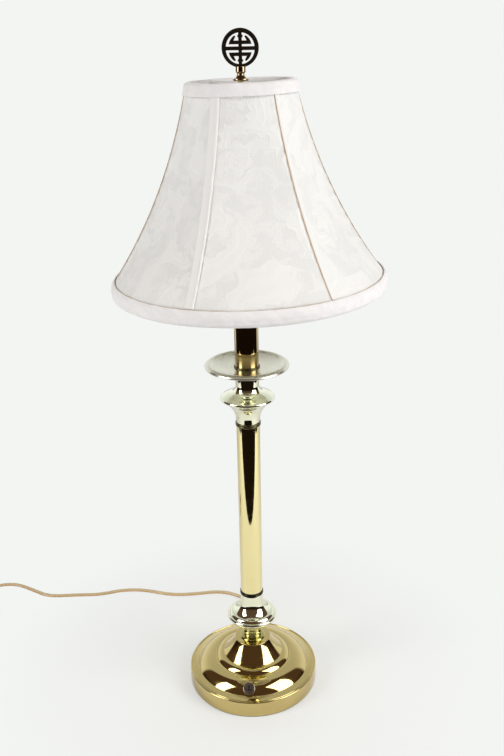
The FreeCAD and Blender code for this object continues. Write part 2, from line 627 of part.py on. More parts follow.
def coil_tangent(turn):
    step = 1e-4
    return unit(coil_point(turn + step) - coil_point(turn - step))


def least_self_gap(points, r, skip):
    """Least clear distance between stretches of a lead that are more than skip points apart."""
    best = 1e9
    for i in range(len(points)):
        for j in range(i + skip, len(points)):
            best = min(best, (points[i] - points[j]).Length)
    return best - 2 * r


def coil():
    """The put-away length, in one unbroken tube that ends beside the coil, at the plug."""
    last = 2 * COIL_TURNS + 0.5 + 0.25
    lead_in = Vector(*LEAD_ROUTE[-1])
    edges = [Part.LineSegment(lead_in, lead_in + Vector(-2 * CORD_R, 0, 0)).toShape()]
    p, t = lead_in + Vector(-2 * CORD_R, 0, 0), Vector(-1, 0, 0)
    quarters = int(round(last * 4))
    for i in range(1, quarters + 1):
        there = coil_point(i / 4)
        tangent = coil_tangent(i / 4)
        edges += biarc(p, t, there, tangent)
        p, t = there, tangent
    end_dir = Vector(0, -1, 0)
    bend = Vector(p.x - 2.5, p.y - 16, PLUG_Z)
    edges += biarc(p, t, bend, end_dir)
    stop = bend + end_dir * (2 * CORD_R + 1)
    edges.append(Part.LineSegment(bend, stop).toShape())
    solid = swept(edges, CORD_R, Vector(-1, 0, 0))
    length = sum(e.Length for e in edges)
    points = [v for e in edges for v in e.discretize(Distance=2.0)[:-1]]
    gap = least_self_gap(points, CORD_R, 12)
    print(f"cord_coil: length {length:.1f}, least gap to itself {gap:.2f}, valid {solid.isValid()}, "
          f"volume {solid.Volume:.0f} against {math.pi * CORD_R ** 2 * length:.0f}")
    return solid, length, stop


def plug(entry):
    """A moulded two-pin plug, pointing towards -Y from where the cord enters it."""
    relief = Part.makeCone(3.4, 4.6, 12, entry, Vector(0, -1, 0))
    y0 = entry.y - 12
    body = box((entry.x - 11, entry.x + 11), (y0 - 24, y0), (PLUG_Z - 6.5, PLUG_Z + 6.5))
    body = body.makeFillet(3.0, [e for e in body.Edges if abs(e.tangentAt(e.FirstParameter).y) > 0.9])
    nodes["plug_body"] = fused([body, relief])
    blades = []
    for x in (-6.35, 6.35):
        blade = box((entry.x + x - 0.75, entry.x + x + 0.75), (y0 - 24 - 17, y0 - 24),
                    (PLUG_Z - 3.2, PLUG_Z + 3.2))
        hole = Part.makeCylinder(1.6, 4, Vector(entry.x + x - 2, y0 - 24 - 13, PLUG_Z), Vector(1, 0, 0))
        blades.append(blade.cut(hole))
    nodes["plug_blades"] = Part.makeCompound(blades)


def cord():
    lead, lead_length = bar_along([Vector(*p) for p in LEAD_ROUTE], CORD_R, "cord_lead")
    nodes["cord_lead"] = lead
    coil_solid, coil_length, end = coil()
    nodes["cord_coil"] = coil_solid
    plug(end)
    print(f"free cord: {lead_length + coil_length:.0f} of {CORD_LENGTH:.0f}")

    # A strip tie round the coil's turns, on the side towards the lamp.
    turns = (COIL_R[1] - CORD_R - 0.9, COIL_R[0] + CORD_R + 0.9)
    outer = box((turns[0] - 0.7, turns[1] + 0.7), (-3, 3), (0.1, COIL_Z[1] + CORD_R + 1.1))
    inner = box(turns, (-4, 4), (0.8, COIL_Z[1] + CORD_R + 0.4))
    tie = outer.cut(inner)
    tie.translate(Vector(COIL_CENTRE[0], COIL_CENTRE[1], 0))
    nodes["cord_tie"] = tie

    y = BASE_R + 0.3
    bushing = Part.makeCylinder(4.5, 4, Vector(0, y - 4, EXIT_Z), Vector(0, 1, 0))
    flange = Part.makeCylinder(6.2, 1.8, Vector(0, y, EXIT_Z), Vector(0, 1, 0))
    relief = Part.makeCone(4.6, 3.3, BUSHING_END_Y - y - 1.8, Vector(0, y + 1.8, EXIT_Z), Vector(0, 1, 0))
    bore = Part.makeCylinder(CORD_R + 0.05, 40, Vector(0, y - 10, EXIT_Z), Vector(0, 1, 0))
    nodes["cord_bushing"] = fused([bushing, flange, relief]).cut(bore)

    inside = [Vector(0, BUSHING_END_Y, EXIT_Z), Vector(0, 52, EXIT_Z), Vector(0, 22, 5.2),
              Vector(0, 0, 5.2), Vector(0, 0, 498.8)]
    nodes["cord_inner"], _ = bar_along(inside, CORD_R, "cord_inner")


# ---- build ------------------------------------------------------------------------------------------
def main():
    base()
    switch()
    stem()
    socket()
    harp()
    shade_fabric(shade_frame())
    finial()
    cord()
    os.makedirs("parts", exist_ok=True)
    for name, shape in nodes.items():
        if not shape.isValid():
            print("NOT VALID", name)
        shape.exportStep(f"parts/{name}.step")
        limits = shape.BoundBox
        print(f"{name:22s} {len(shape.Solids)} solid(s), {shape.Volume / 1000:8.2f} cm3, "
              f"z {limits.ZMin:.1f} to {limits.ZMax:.1f}")
    print(len(nodes), "nodes")


main()
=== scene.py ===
"""A candlestick table lamp, dressed over its construction solids.

Everything is in metres in the frame's own axes: +Z is up, the table top is z = 0, the front is -Y
and the origin is the middle of the base's underside.  Outlines of turned pieces are (radius,
height) in millimetres, and azimuths are in degrees from the front, growing towards +X.
"""
import logging
import math
from dataclasses import dataclass, field
from enum import Enum
from typing import Callable, Optional, Sequence, Union

import bmesh
import bpy
from mathutils import Matrix, Vector


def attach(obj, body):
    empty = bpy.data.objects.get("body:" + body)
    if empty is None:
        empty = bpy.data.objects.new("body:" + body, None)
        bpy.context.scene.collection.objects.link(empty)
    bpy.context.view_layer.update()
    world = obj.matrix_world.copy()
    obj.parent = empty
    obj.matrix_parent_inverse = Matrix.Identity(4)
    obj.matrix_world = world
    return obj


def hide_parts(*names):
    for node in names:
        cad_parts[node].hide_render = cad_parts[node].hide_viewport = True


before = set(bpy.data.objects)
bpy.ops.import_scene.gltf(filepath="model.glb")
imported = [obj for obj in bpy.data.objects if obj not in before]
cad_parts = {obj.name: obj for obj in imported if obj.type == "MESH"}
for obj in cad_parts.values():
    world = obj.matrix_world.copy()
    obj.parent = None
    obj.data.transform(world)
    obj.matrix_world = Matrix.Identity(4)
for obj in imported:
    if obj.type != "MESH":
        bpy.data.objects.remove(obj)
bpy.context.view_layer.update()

log = logging.getLogger("candlestick_lamp")

Point2 = tuple[float, float]
Point3 = tuple[float, float, float]
Colour = tuple[float, float, float]
Value = Union[float, Sequence[float], "Wire"]

MM = 0.001
# Vertices closer than this are merged, in metres.  Points of an outline that are closer than this to
# each other, or to the axis, touch, in millimetres.
MERGED = 1e-6
# The panels of the shade meet a little less exactly than a turned mesh does.
PANELS_MERGED = 2e-6


# ---- node trees ---------------------------------------------------------------------------------------
class Wire:
    """One output socket, on which sums and products can be written as Python expressions."""

    def __init__(self, sheet: "NodeSheet", socket: bpy.types.NodeSocket) -> None:
        """Keep the tree's sheet and the socket."""
        self.sheet = sheet
        self.socket = socket

    def maths(self, operation: str, other: Value) -> "Wire":
        """Put this value and another through a Math node."""
        return self.sheet.maths(operation, self, other)

    def __add__(self, other: Value) -> "Wire":
        """Return self + other."""
        return self.maths("ADD", other)

    def __radd__(self, other: Value) -> "Wire":
        """Return other + self."""
        return self.sheet.maths("ADD", other, self)

    def __sub__(self, other: Value) -> "Wire":
        """Return self - other."""
        return self.maths("SUBTRACT", other)

    def __rsub__(self, other: Value) -> "Wire":
        """Return other - self."""
        return self.sheet.maths("SUBTRACT", other, self)

    def __mul__(self, other: Value) -> "Wire":
        """Return self * other."""
        return self.maths("MULTIPLY", other)

    def __rmul__(self, other: Value) -> "Wire":
        """Return other * self."""
        return self.sheet.maths("MULTIPLY", other, self)

    def __truediv__(self, other: Value) -> "Wire":
        """Return self / other."""
        return self.maths("DIVIDE", other)

    def __rtruediv__(self, other: Value) -> "Wire":
        """Return other / self."""
        return self.sheet.maths("DIVIDE", other, self)

    def __pow__(self, other: Value) -> "Wire":
        """Return self ** other."""
        return self.maths("POWER", other)

    def __rpow__(self, other: Value) -> "Wire":
        """Return other ** self."""
        return self.sheet.maths("POWER", other, self)

    def __neg__(self) -> "Wire":
        """Return -self."""
        return self.maths("MULTIPLY", -1.0)

    def ramp(self, low: float, high: float) -> "Wire":
        """Rise smoothly from 0 to 1 as the value goes from low to high."""
        return self.sheet.node("ShaderNodeMapRange", {"interpolation_type": "SMOOTHSTEP"},
                               {0: self, 1: low, 2: high, 3: 0.0, 4: 1.0})


class NodeSheet:
    """A node tree written from Python: a material's, the world's or a Geometry Nodes tree."""

    def __init__(self, tree: bpy.types.NodeTree) -> None:
        """Take over a tree, which may hold nodes already."""
        self.tree = tree

    def plug(self, value: Value, socket: bpy.types.NodeSocket) -> None:
        """Link a wire to an input socket, or set the socket's own value.

        Args:
            value: A wire, a number, a name, a material, or a colour's or vector's numbers.
            socket: The input; a colour's fourth number is filled up with 1.
        """
        if isinstance(value, Wire):
            self.tree.links.new(value.socket, socket)
        elif isinstance(value, str) or not hasattr(value, "__len__"):
            socket.default_value = value
        else:
            size = len(socket.default_value)
            socket.default_value = (list(value) + [1.0] * size)[:size]

    def make(self, kind: str, settings: Optional[dict] = None,
             inputs: Optional[dict] = None) -> bpy.types.Node:
        """Add a node.

        Args:
            kind: The node's type.
            settings: Attributes that are set first; "stops" fills a colour ramp.
            inputs: Values or wires for its input sockets, by name or index.

        Returns:
            The node.
        """
        made = self.tree.nodes.new(kind)
        for key, value in (settings or {}).items():
            if key == "stops":
                ramp = made.color_ramp
                while len(ramp.elements) < len(value):
                    ramp.elements.new(0.5)
                for element, (place, colour) in zip(ramp.elements, value):
                    element.position = place
                    element.color = (*colour, 1.0)
            else:
                setattr(made, key, value)
        for key, value in (inputs or {}).items():
            self.plug(value, made.inputs[key])
        return made

    def node(self, kind: str, settings: Optional[dict] = None, inputs: Optional[dict] = None,
             output: Union[int, str] = 0) -> Wire:
        """Add a node as make does, and return one of its outputs."""
        return Wire(self, self.make(kind, settings, inputs).outputs[output])

    def maths(self, operation: str, *values: Value, clamp: bool = False) -> Wire:
        """Add a Math node over values and wires, and return its result."""
        return self.node("ShaderNodeMath", {"operation": operation, "use_clamp": clamp},
                         dict(enumerate(values)))

    def vector(self, operation: str, *values: Value) -> Wire:
        """Add a Vector Math node over values and wires, and return its result."""
        return self.node("ShaderNodeVectorMath", {"operation": operation}, dict(enumerate(values)))

    def join(self, x: Value, y: Value, z: Value) -> Wire:
        """Make a vector of three numbers."""
        return self.node("ShaderNodeCombineXYZ", None, {0: x, 1: y, 2: z})

    def split(self, vector: Wire) -> tuple[Wire, Wire, Wire]:
        """Return a vector's three numbers."""
        parts = self.make("ShaderNodeSeparateXYZ", None, {0: vector})
        return tuple(Wire(self, out) for out in parts.outputs)

    def mix(self, factor: Value, a: Value, b: Value) -> Wire:
        """Mix two colours."""
        return self.node("ShaderNodeMix", {"data_type": "RGBA"}, {0: factor, 6: a, 7: b}, 2)

    def noise(self, vector: Wire, scale: float, detail: float = 2.0) -> Wire:
        """Return smooth noise from 0 to 1."""
        return self.node("ShaderNodeTexNoise", {"noise_dimensions": "3D"},
                         {"Vector": vector, "Scale": scale, "Detail": detail, "Roughness": 0.5})

    def seen_by_camera(self) -> Wire:
        """Return 1 on rays from the camera, straight or through glass, else 0."""
        path = self.make("ShaderNodeLightPath")
        return self.maths("MAXIMUM", Wire(self, path.outputs["Is Camera Ray"]),
                          Wire(self, path.outputs["Is Transmission Ray"]))


def evaluated_mesh(holder: bpy.types.Object) -> bpy.types.Mesh:
    """Put an object in the scene and evaluate it.

    Args:
        holder: A curve, or a mesh with a modifier; the caller removes it afterwards.

    Returns:
        What it looks like, as a plain mesh.
    """
    bpy.context.collection.objects.link(holder)
    bpy.context.view_layer.update()
    graph = bpy.context.evaluated_depsgraph_get()
    return bpy.data.meshes.new_from_object(holder.evaluated_get(graph))


class Recipe:
    """A Geometry Nodes tree with named inputs, which grows one plain mesh at a time."""

    def __init__(self, name: str) -> None:
        """Start an empty tree with its geometry input and output.

        Args:
            name: The tree's name.
        """
        self.tree = bpy.data.node_groups.new(name, "GeometryNodeTree")
        for way in ("INPUT", "OUTPUT"):
            self.tree.interface.new_socket(name="Geometry", in_out=way,
                                           socket_type="NodeSocketGeometry")
        self.sheet = NodeSheet(self.tree)
        self.entry = self.tree.nodes.new("NodeGroupInput")
        self.exit = self.tree.nodes.new("NodeGroupOutput")
        self.sockets: dict[str, str] = {}

    def number(self, name: str, value: float) -> Wire:
        """Add a named number input.

        Args:
            name: The input's name.
            value: Its usual value.

        Returns:
            The input, for use in expressions.
        """
        socket = self.tree.interface.new_socket(name=name, in_out="INPUT",
                                                socket_type="NodeSocketFloat")
        socket.default_value = value
        self.sockets[name] = socket.identifier
        return Wire(self.sheet, self.entry.outputs[name])

    def close(self, geometry: Wire, finish: "Finish") -> None:
        """End the tree: realize its instances and give everything one finish.

        Args:
            geometry: What the tree has made.
            finish: What it is made of.
        """
        real = self.sheet.node("GeometryNodeRealizeInstances", None, {0: geometry})
        dressed = self.sheet.node("GeometryNodeSetMaterial", None,
                                  {"Geometry": real, "Material": finish.material()})
        self.sheet.plug(dressed, self.exit.inputs[0])

    def grow(self, name: str, values: dict[str, float],
             seeds: Sequence[Point3] = ((0.0, 0.0, 0.0),)) -> bpy.types.Mesh:
        """Evaluate the tree over a few seed points.

        Args:
            name: The mesh's name.
            values: The named inputs' values, in metres or degrees.
            seeds: Vertices of the mesh that the tree starts from.

        Returns:
            The grown mesh, with no modifier left on it.
        """
        start = bpy.data.meshes.new(name + "_seeds")
        start.from_pydata([tuple(seed) for seed in seeds], [], [])
        holder = bpy.data.objects.new(name + "_holder", start)
        modifier = holder.modifiers.new("recipe", "NODES")
        modifier.node_group = self.tree
        for key, value in values.items():
            modifier[self.sockets[key]] = float(value)
        mesh = evaluated_mesh(holder)
        mesh.name = name
        holder.modifiers.remove(modifier)
        bpy.data.objects.remove(holder)
        bpy.data.meshes.remove(start)
        return mesh


# ---- finishes -----------------------------------------------------------------------------------------
@dataclass(frozen=True)
class Finish:
    """What a surface is made of; each kind fills in the nodes of its own material."""

    name: str
    colour: Colour
    roughness: float = 0.5

    def dress(self, sheet: NodeSheet, shader: bpy.types.Node) -> None:
        """Wire the finish's nodes to the Principled shader."""
        raise NotImplementedError

    def material(self) -> bpy.types.Material:
        """Make the finish's material on its first use.

        Its name differs from every slot's, because the frame brings a plain material for each slot.

        Returns:
            The material.
        """
        name = "finish_" + self.name
        found = bpy.data.materials.get(name)
        if found:
            return found
        made = bpy.data.materials.new(name)
        made.use_nodes = True
        sheet = NodeSheet(made.node_tree)
        shader = made.node_tree.nodes["Principled BSDF"]
        sheet.plug(self.colour, shader.inputs["Base Color"])
        sheet.plug(self.roughness, shader.inputs["Roughness"])
        self.dress(sheet, shader)
        return made

    def place(self, sheet: NodeSheet) -> Wire:
        """Return the Object coordinates, in metres."""
        return sheet.node("ShaderNodeTexCoord", None, None, "Object")

    def bump(self, sheet: NodeSheet, shader: bpy.types.Node, height: Wire, depth: float,
             strength: float = 1.0) -> None:
        """Raise the surface with a bump.

        Args:
            sheet: The material's nodes.
            shader: Its Principled shader.
            height: The bump's height over the surface.
            depth: How far a height of 1 rises, in metres.
            strength: How much of the bump shows.
        """
        normal = sheet.node("ShaderNodeBump", None,
                            {"Strength": strength, "Distance": depth, "Height": height})
        sheet.plug(normal, shader.inputs["Normal"])


@dataclass(frozen=True)
class PolishedMetal(Finish):
    """Spun, polished and lacquered metal with faint turning lines, smears and small dents.

    tarnish is the stains' colour and tarnish_share how strongly they show; smear is what a smear
    adds to the roughness, turning the turning lines' depth and lacquer the coat's weight.
    """

    roughness: float = 0.05
    smear: float = 0.04
    tarnish: Colour = (0.30, 0.19, 0.07)
    tarnish_share: float = 0.10
    turning: float = 0.4
    lacquer: float = 0.6
    dents: float = 0.02

    # Cells of noise in a metre: stains, specks, turning lines, dents, and smears across and up.
    STAINS, SPECKS, LINES, DENTS = 38.0, 900.0, 2600.0, 70.0
    SMEARS = (60.0, 60.0, 220.0)

    def dress(self, sheet: NodeSheet, shader: bpy.types.Node) -> None:
        """Wire the metal's colour, smears and turning lines.

        Args:
            sheet: The material's nodes.
            shader: Its Principled shader.
        """
        here = self.place(sheet)
        x, y, z = sheet.split(here)
        radius = (x * x + y * y) ** 0.5
        cloud = sheet.noise(here, self.STAINS, 3.0)
        speck = sheet.noise(here, self.SPECKS, 2.0).ramp(0.68, 0.80)
        stain = (cloud.ramp(0.52, 0.8) * 0.6 + speck * 0.5) * self.tarnish_share
        sheet.plug(sheet.mix(stain, self.colour, self.tarnish), shader.inputs["Base Color"])
        shader.inputs["Metallic"].default_value = 1.0
        shader.inputs["Coat Weight"].default_value = self.lacquer
        shader.inputs["Coat Roughness"].default_value = 0.04
        smears = sheet.noise(sheet.vector("MULTIPLY", here, self.SMEARS), 1.0, 3.0)
        sheet.plug(self.roughness + smears.ramp(0.45, 0.75) * self.smear + speck * 0.05,
                   shader.inputs["Roughness"])
        rings = sheet.noise(sheet.join(radius * self.LINES, z * self.LINES, 0.0), 1.0, 2.0)
        dents = sheet.noise(here, self.DENTS, 1.0)
        self.bump(sheet, shader, rings * (0.0006 * self.turning) + dents * self.dents, 0.002, 0.6)


@dataclass(frozen=True)
class DarkMetal(Finish):
    """Antiqued, blackened or plated metal, worn brighter where hands and cloths rub it."""

    roughness: float = 0.35
    worn: Colour = (0.45, 0.32, 0.14)
    wear: float = 0.35

    # Cells of noise in a metre: the cast grain and the rubbed places.
    GRAIN, RUBBED = 1400.0, 160.0

    def dress(self, sheet: NodeSheet, shader: bpy.types.Node) -> None:
        """Wire the patina, the rubbed places and the cast grain.

        Args:
            sheet: The material's nodes.
            shader: Its Principled shader.
        """
        here = self.place(sheet)
        grain = sheet.noise(here, self.GRAIN, 3.0)
        rubbed = sheet.noise(here, self.RUBBED, 3.0).ramp(0.5, 0.72) * self.wear
        sheet.plug(sheet.mix(rubbed, self.colour, self.worn), shader.inputs["Base Color"])
        shader.inputs["Metallic"].default_value = 1.0
        sheet.plug(self.roughness - rubbed * 0.2 + grain * 0.12, shader.inputs["Roughness"])
        self.bump(sheet, shader, grain, 0.0002, 0.5)


@dataclass(frozen=True)
class Moulded(Finish):
    """Moulded plastic, felt or fibre with a fine grain; shade is how much darker its tone gets."""

    grain: float = 900.0
    grain_depth: float = 0.00005
    shade: float = 0.85

    def dress(self, sheet: NodeSheet, shader: bpy.types.Node) -> None:
        """Wire the mould grain and a slow change of tone.

        Args:
            sheet: The material's nodes.
            shader: Its Principled shader.
        """
        here = self.place(sheet)
        grain = sheet.noise(here, self.grain, 3.0)
        tone = sheet.noise(here, 60.0, 2.0).ramp(0.3, 0.8)
        darker = tuple(c * self.shade for c in self.colour)
        sheet.plug(sheet.mix(tone, self.colour, darker), shader.inputs["Base Color"])
        sheet.plug(self.roughness + grain * 0.12, shader.inputs["Roughness"])
        self.bump(sheet, shader, grain, self.grain_depth, 0.5)


@dataclass(frozen=True)
class ClearCord(Finish):
    """Clear gold plastic over two stranded wires; u runs round the lead and v along it.

    strands is the lay of the wires' strands, in metres, and core the copper that shows through.
    """

    core: Colour = (0.50, 0.24, 0.07)
    strands: float = 0.0016

    def dress(self, sheet: NodeSheet, shader: bpy.types.Node) -> None:
        """Wire the wires' glint inside the plastic.

        Args:
            sheet: The material's nodes.
            shader: Its Principled shader.
        """
        u, v, _ = sheet.split(sheet.node("ShaderNodeTexCoord", None, None, "UV"))
        twist = sheet.maths("SINE", (v / self.strands + u * 4.0) * math.tau) * 0.5 + 0.5
        lobe = sheet.maths("ABSOLUTE", sheet.maths("SINE", u * math.tau))
        seen = (1.0 - lobe).ramp(0.1, 0.8) * 0.55 + twist * 0.07
        sheet.plug(sheet.mix(seen, self.colour, self.core), shader.inputs["Base Color"])
        sheet.plug(self.roughness + twist * 0.05, shader.inputs["Roughness"])
        shader.inputs["Coat Weight"].default_value = 0.6
        shader.inputs["Coat Roughness"].default_value = 0.12
        self.bump(sheet, shader, twist, 0.00003, 0.4)


@dataclass(frozen=True)
class ClearGlass(Finish):
    """Thin clear glass; clearness is the light that it lets through where it is seen squarely."""

    roughness: float = 0.02
    clearness: float = 0.75

    def dress(self, sheet: NodeSheet, shader: bpy.types.Node) -> None:
        """Let most light through, more in the middle than at the edge.

        Args:
            sheet: The material's nodes.
            shader: Its Principled shader.
        """
        edge = sheet.node("ShaderNodeLayerWeight", None, {"Blend": 0.35}, "Facing")
        ripple = sheet.noise(self.place(sheet), 90.0, 1.0)
        sheet.plug((1.0 - self.clearness) + edge * self.clearness * 0.6, shader.inputs["Alpha"])
        self.bump(sheet, shader, ripple, 0.0002, 0.2)


class Weave(Enum):
    """The cloths of the shade."""

    DAMASK = "damask"
    PLAIN = "plain"
    SATIN = "satin"


@dataclass(frozen=True)
class Cloth(Finish):
    """Woven cloth: u is across the warp and v along it, in metres.

    thread, cord, motif and sprig are the spacings of the threads, of the damask ground's cords, of
    the damask's flowers and of the satin's sprigs.  contrast is how much darker the ground gets.
    """

    roughness: float = 0.8
    weave: Weave = Weave.PLAIN
    thread: float = 0.0008
    motif: float = 0.075
    contrast: float = 0.10
    sheen: float = 0.25
    cord: float = 0.0017
    sprig: float = 0.024

    # A flower head's petals and its size in cells, and how tight the scrolls and leaf lobes wind.
    PETALS, HEAD, SCROLL, LOBES = 6.0, 0.25, 3.6, 8.0

    def threads(self, sheet: NodeSheet) -> tuple[Wire, Wire]:
        """Find the place in the cloth: by the UV map on damask panels, else round the shade.

        Args:
            sheet: The material's nodes.

        Returns:
            The place across the warp and the place along it, in metres.
        """
        if self.weave is Weave.DAMASK:
            u, v, _ = sheet.split(sheet.node("ShaderNodeUVMap", {"uv_map": "UVMap"}))
            return u, v
        x, y, z = sheet.split(self.place(sheet))
        radius = (x * x + y * y) ** 0.5
        return sheet.maths("ARCTAN2", y, x) * radius, z + radius * 0.4

    def leafwork(self, sheet: NodeSheet, u: Wire, v: Wire, size: float,
                 shift: float) -> tuple[Wire, Wire]:
        """Draw one layer of flower heads with scrolling leaves round them.

        Args:
            sheet: The material's nodes.
            u: Place across the cloth, in metres.
            v: Place along the cloth, in metres.
            size: Spacing of the flower heads, in metres.
            shift: Where the layer's pattern starts, so that layers differ.

        Returns:
            A soft mask of the motif, and a mask of the fine lines drawn round and in it.
        """
        bend = size * 0.42
        flat = sheet.join(u + shift, v + shift * 1.7, 0.0)
        wander = sheet.noise(flat, 1.6 / size, 2.0) - 0.5
        other = sheet.noise(sheet.vector("ADD", flat, (3.1, 1.7, 0.0)), 1.6 / size, 2.0) - 0.5
        bent = sheet.join(u + shift + wander * bend, v + shift * 1.7 + other * bend, 0.0)
        cell = sheet.make("ShaderNodeTexVoronoi", {"voronoi_dimensions": "2D", "feature": "F1"},
                          {"Vector": bent, "Scale": 1.0 / size, "Randomness": 0.6})
        chance = sheet.split(Wire(sheet, cell.outputs["Color"]))[0]
        # The cell's middle comes out in the pattern's own scale.
        middle = Wire(sheet, cell.outputs["Position"])
        du, dv, _ = sheet.split(sheet.vector("SUBTRACT", bent, middle))
        reach = (du * du + dv * dv) ** 0.5 / size
        turn = sheet.maths("ARCTAN2", dv, du)
        petals = sheet.maths("COSINE", turn * self.PETALS + chance * 6.0)
        flower = reach / (self.HEAD * (0.82 + 0.18 * petals))
        head = 1.0 - flower.ramp(0.88, 1.0)
        layers = sheet.maths("SINE", flower * 12.0 + petals * 1.2).ramp(0.35, 0.95) * head
        curl = sheet.maths("LOGARITHM", reach * 4.0 + 0.02, math.e) * self.SCROLL
        spiral = sheet.maths("SINE", turn * 2.0 - curl + chance * 9.0)
        lobes = sheet.maths("SINE", turn * self.LOBES + curl * 4.0) * 0.26
        leaf = (spiral + lobes).ramp(0.1, 0.42) * flower.ramp(1.04, 1.25)
        rim = 1.0 - sheet.maths("ABSOLUTE", (spiral + lobes) - 0.26).ramp(0.0, 0.2)
        vein = 1.0 - sheet.maths("ABSOLUTE", spiral - 0.86).ramp(0.0, 0.14)
        lines = sheet.maths("MAXIMUM", rim * flower.ramp(1.0, 1.2), vein * leaf)
        return sheet.maths("MAXIMUM", head, leaf), sheet.maths("MAXIMUM", lines, layers)

    def dress(self, sheet: NodeSheet, shader: bpy.types.Node) -> None:
        """Wire the weave and, on damask, the motif.

        Args:
            sheet: The material's nodes.
            shader: Its Principled shader.
        """
        u, v = self.threads(sheet)
        wobble = sheet.noise(sheet.join(u * 40.0, v * 25.0, 0.0), 1.0, 2.0)
        pace = math.tau / self.thread
        warp = sheet.maths("SINE", (u + wobble * self.thread * 1.5) * pace) * 0.5 + 0.5
        weft = sheet.maths("SINE", v * (pace * 1.3)) * 0.5 + 0.5
        slub = sheet.noise(sheet.join(u * 900.0, v * 60.0, 0.0), 1.0, 2.0)
        tone = slub * 0.3 + warp * 0.2
        height = warp * 0.5 + weft * 0.3
        gloss: Value = self.roughness
        if self.weave is Weave.SATIN:
            sprig, edges = self.leafwork(sheet, u, v, self.sprig, 0.2)
            crease_height_and_shade = sheet.noise(sheet.join(u * 150.0, v * 330.0, 0.0), 1.0, 3.0)
            # The crease noise raises the cloth and also darkens its colour: painted shade of the folds.
            tone = tone * 0.5 + (1.0 - sprig) * 0.35 - edges * 0.3 + crease_height_and_shade * 0.3
            height = height * 0.6 + sprig * 0.5 + edges * 0.8 + crease_height_and_shade * 4.0
        if self.weave is Weave.DAMASK:
            large, outlines = self.leafwork(sheet, u, v, self.motif, 0.0)
            small, twigs = self.leafwork(sheet, u, v, self.motif * 0.42, 0.31)
            motif = sheet.maths("MAXIMUM", large, small * 0.55)
            lines = sheet.maths("MAXIMUM", outlines, twigs * 0.5)
            ground = 1.0 - motif
            cord = sheet.maths("SINE", (u + wobble * 0.0012) * (math.tau / self.cord)) * 0.5 + 0.5
            tone = slub * 0.16 + ground * 0.62 + cord * ground * 0.22 - lines * 0.38 + 0.1
            height = cord * ground * 0.9 + motif * 0.8 + lines * 1.6 + warp * 0.2
            gloss = self.roughness - motif * 0.2
        darker = tuple(c * (1.0 - self.contrast) for c in self.colour)
        sheet.plug(sheet.mix(sheet.maths("MULTIPLY", tone, 1.0, clamp=True), self.colour, darker),
                   shader.inputs["Base Color"])
        sheet.plug(gloss, shader.inputs["Roughness"])
        shader.inputs["Sheen Weight"].default_value = self.sheen
        shader.inputs["Sheen Roughness"].default_value = 0.4
        depth = 0.00022 if self.weave is Weave.DAMASK else 0.00012
        self.bump(sheet, shader, height, depth, 0.6)


LEMON_BRASS = PolishedMetal("lemon_brass", (0.93, 0.84, 0.43))
TAN_BRASS = PolishedMetal("tan_brass", (0.63, 0.505, 0.20), roughness=0.06, smear=0.06, dents=0.03)
CANDLE_BRASS = PolishedMetal("candle_brass", (0.60, 0.46, 0.20))
OLIVE_BRASS = PolishedMetal("olive_brass", (0.50, 0.46, 0.16), roughness=0.07)
PALE_NICKEL = PolishedMetal("pale_nickel", (0.89, 0.91, 0.71), roughness=0.04, smear=0.03,
                            tarnish=(0.50, 0.46, 0.30), tarnish_share=0.08)
SPUN_NICKEL = PolishedMetal("spun_nickel", (0.76, 0.755, 0.64), roughness=0.26, smear=0.02,
                            tarnish=(0.50, 0.46, 0.32), tarnish_share=0.03, turning=0.2,
                            lacquer=0.05, dents=0.005)
OLIVE_RING = DarkMetal("olive_ring", (0.13, 0.115, 0.06), roughness=0.2, worn=(0.38, 0.34, 0.2))
BLACK_RING = DarkMetal("black_ring", (0.03, 0.03, 0.02), roughness=0.22, worn=(0.14, 0.13, 0.08))
FINIAL_BRONZE = DarkMetal("finial_bronze", (0.050, 0.040, 0.026), roughness=0.38,
                          worn=(0.16, 0.12, 0.07), wear=0.25)
STEM_BRASS = PolishedMetal("stem_brass", (0.33, 0.25, 0.14), roughness=0.10, smear=0.05, dents=0.02)
HARP_BRASS = DarkMetal("harp_brass", (0.55, 0.42, 0.20), roughness=0.3, worn=(0.70, 0.57, 0.32),
                       wear=0.4)
ZINC_STEEL = DarkMetal("zinc_steel", (0.46, 0.46, 0.45), roughness=0.4, worn=(0.62, 0.62, 0.60),
                       wear=0.4)
FRAME_WIRE = DarkMetal("frame_wire", (0.80, 0.79, 0.76), roughness=0.5, worn=(0.88, 0.87, 0.84),
                       wear=0.4)
SCREW_METAL = DarkMetal("screw_metal", (0.62, 0.61, 0.58), roughness=0.25, worn=(0.75, 0.74, 0.72),
                        wear=0.5)
CAST_IRON = DarkMetal("cast_iron", (0.06, 0.06, 0.06), roughness=0.6, worn=(0.16, 0.15, 0.14),
                      wear=0.3)
SWITCH_NICKEL = DarkMetal("switch_nickel", (0.34, 0.30, 0.25), roughness=0.22,
                          worn=(0.46, 0.42, 0.36), wear=0.4)
BLACK_PLASTIC = Moulded("black_plastic", (0.012, 0.012, 0.012), roughness=0.25)
FIBRE = Moulded("socket_fibre", (0.42, 0.30, 0.17), roughness=0.8, grain=500.0, grain_depth=0.0001)
GOLD_PLASTIC = Moulded("gold_plastic", (0.48, 0.33, 0.14), roughness=0.35)
TIE_PLASTIC = Moulded("tie_plastic", (0.02, 0.02, 0.02), roughness=0.5)
CLEAR_GOLD = ClearCord("clear_gold_cord", (0.64, 0.50, 0.27), roughness=0.3)
CLEAR_GLASS = ClearGlass("clear_glass", (0.96, 0.97, 0.96), roughness=0.02)
FELT = Moulded("green_felt", (0.10, 0.14, 0.09), roughness=0.95, grain=2500.0, grain_depth=0.0003,
               shade=0.6)
DAMASK = Cloth("ivory_damask", (0.86, 0.862, 0.838), roughness=0.75, weave=Weave.DAMASK,
               contrast=0.075)
TRIM_CLOTH = Cloth("ivory_trim", (0.88, 0.865, 0.86), roughness=0.8, weave=Weave.SATIN,
                   thread=0.0011, contrast=0.08)
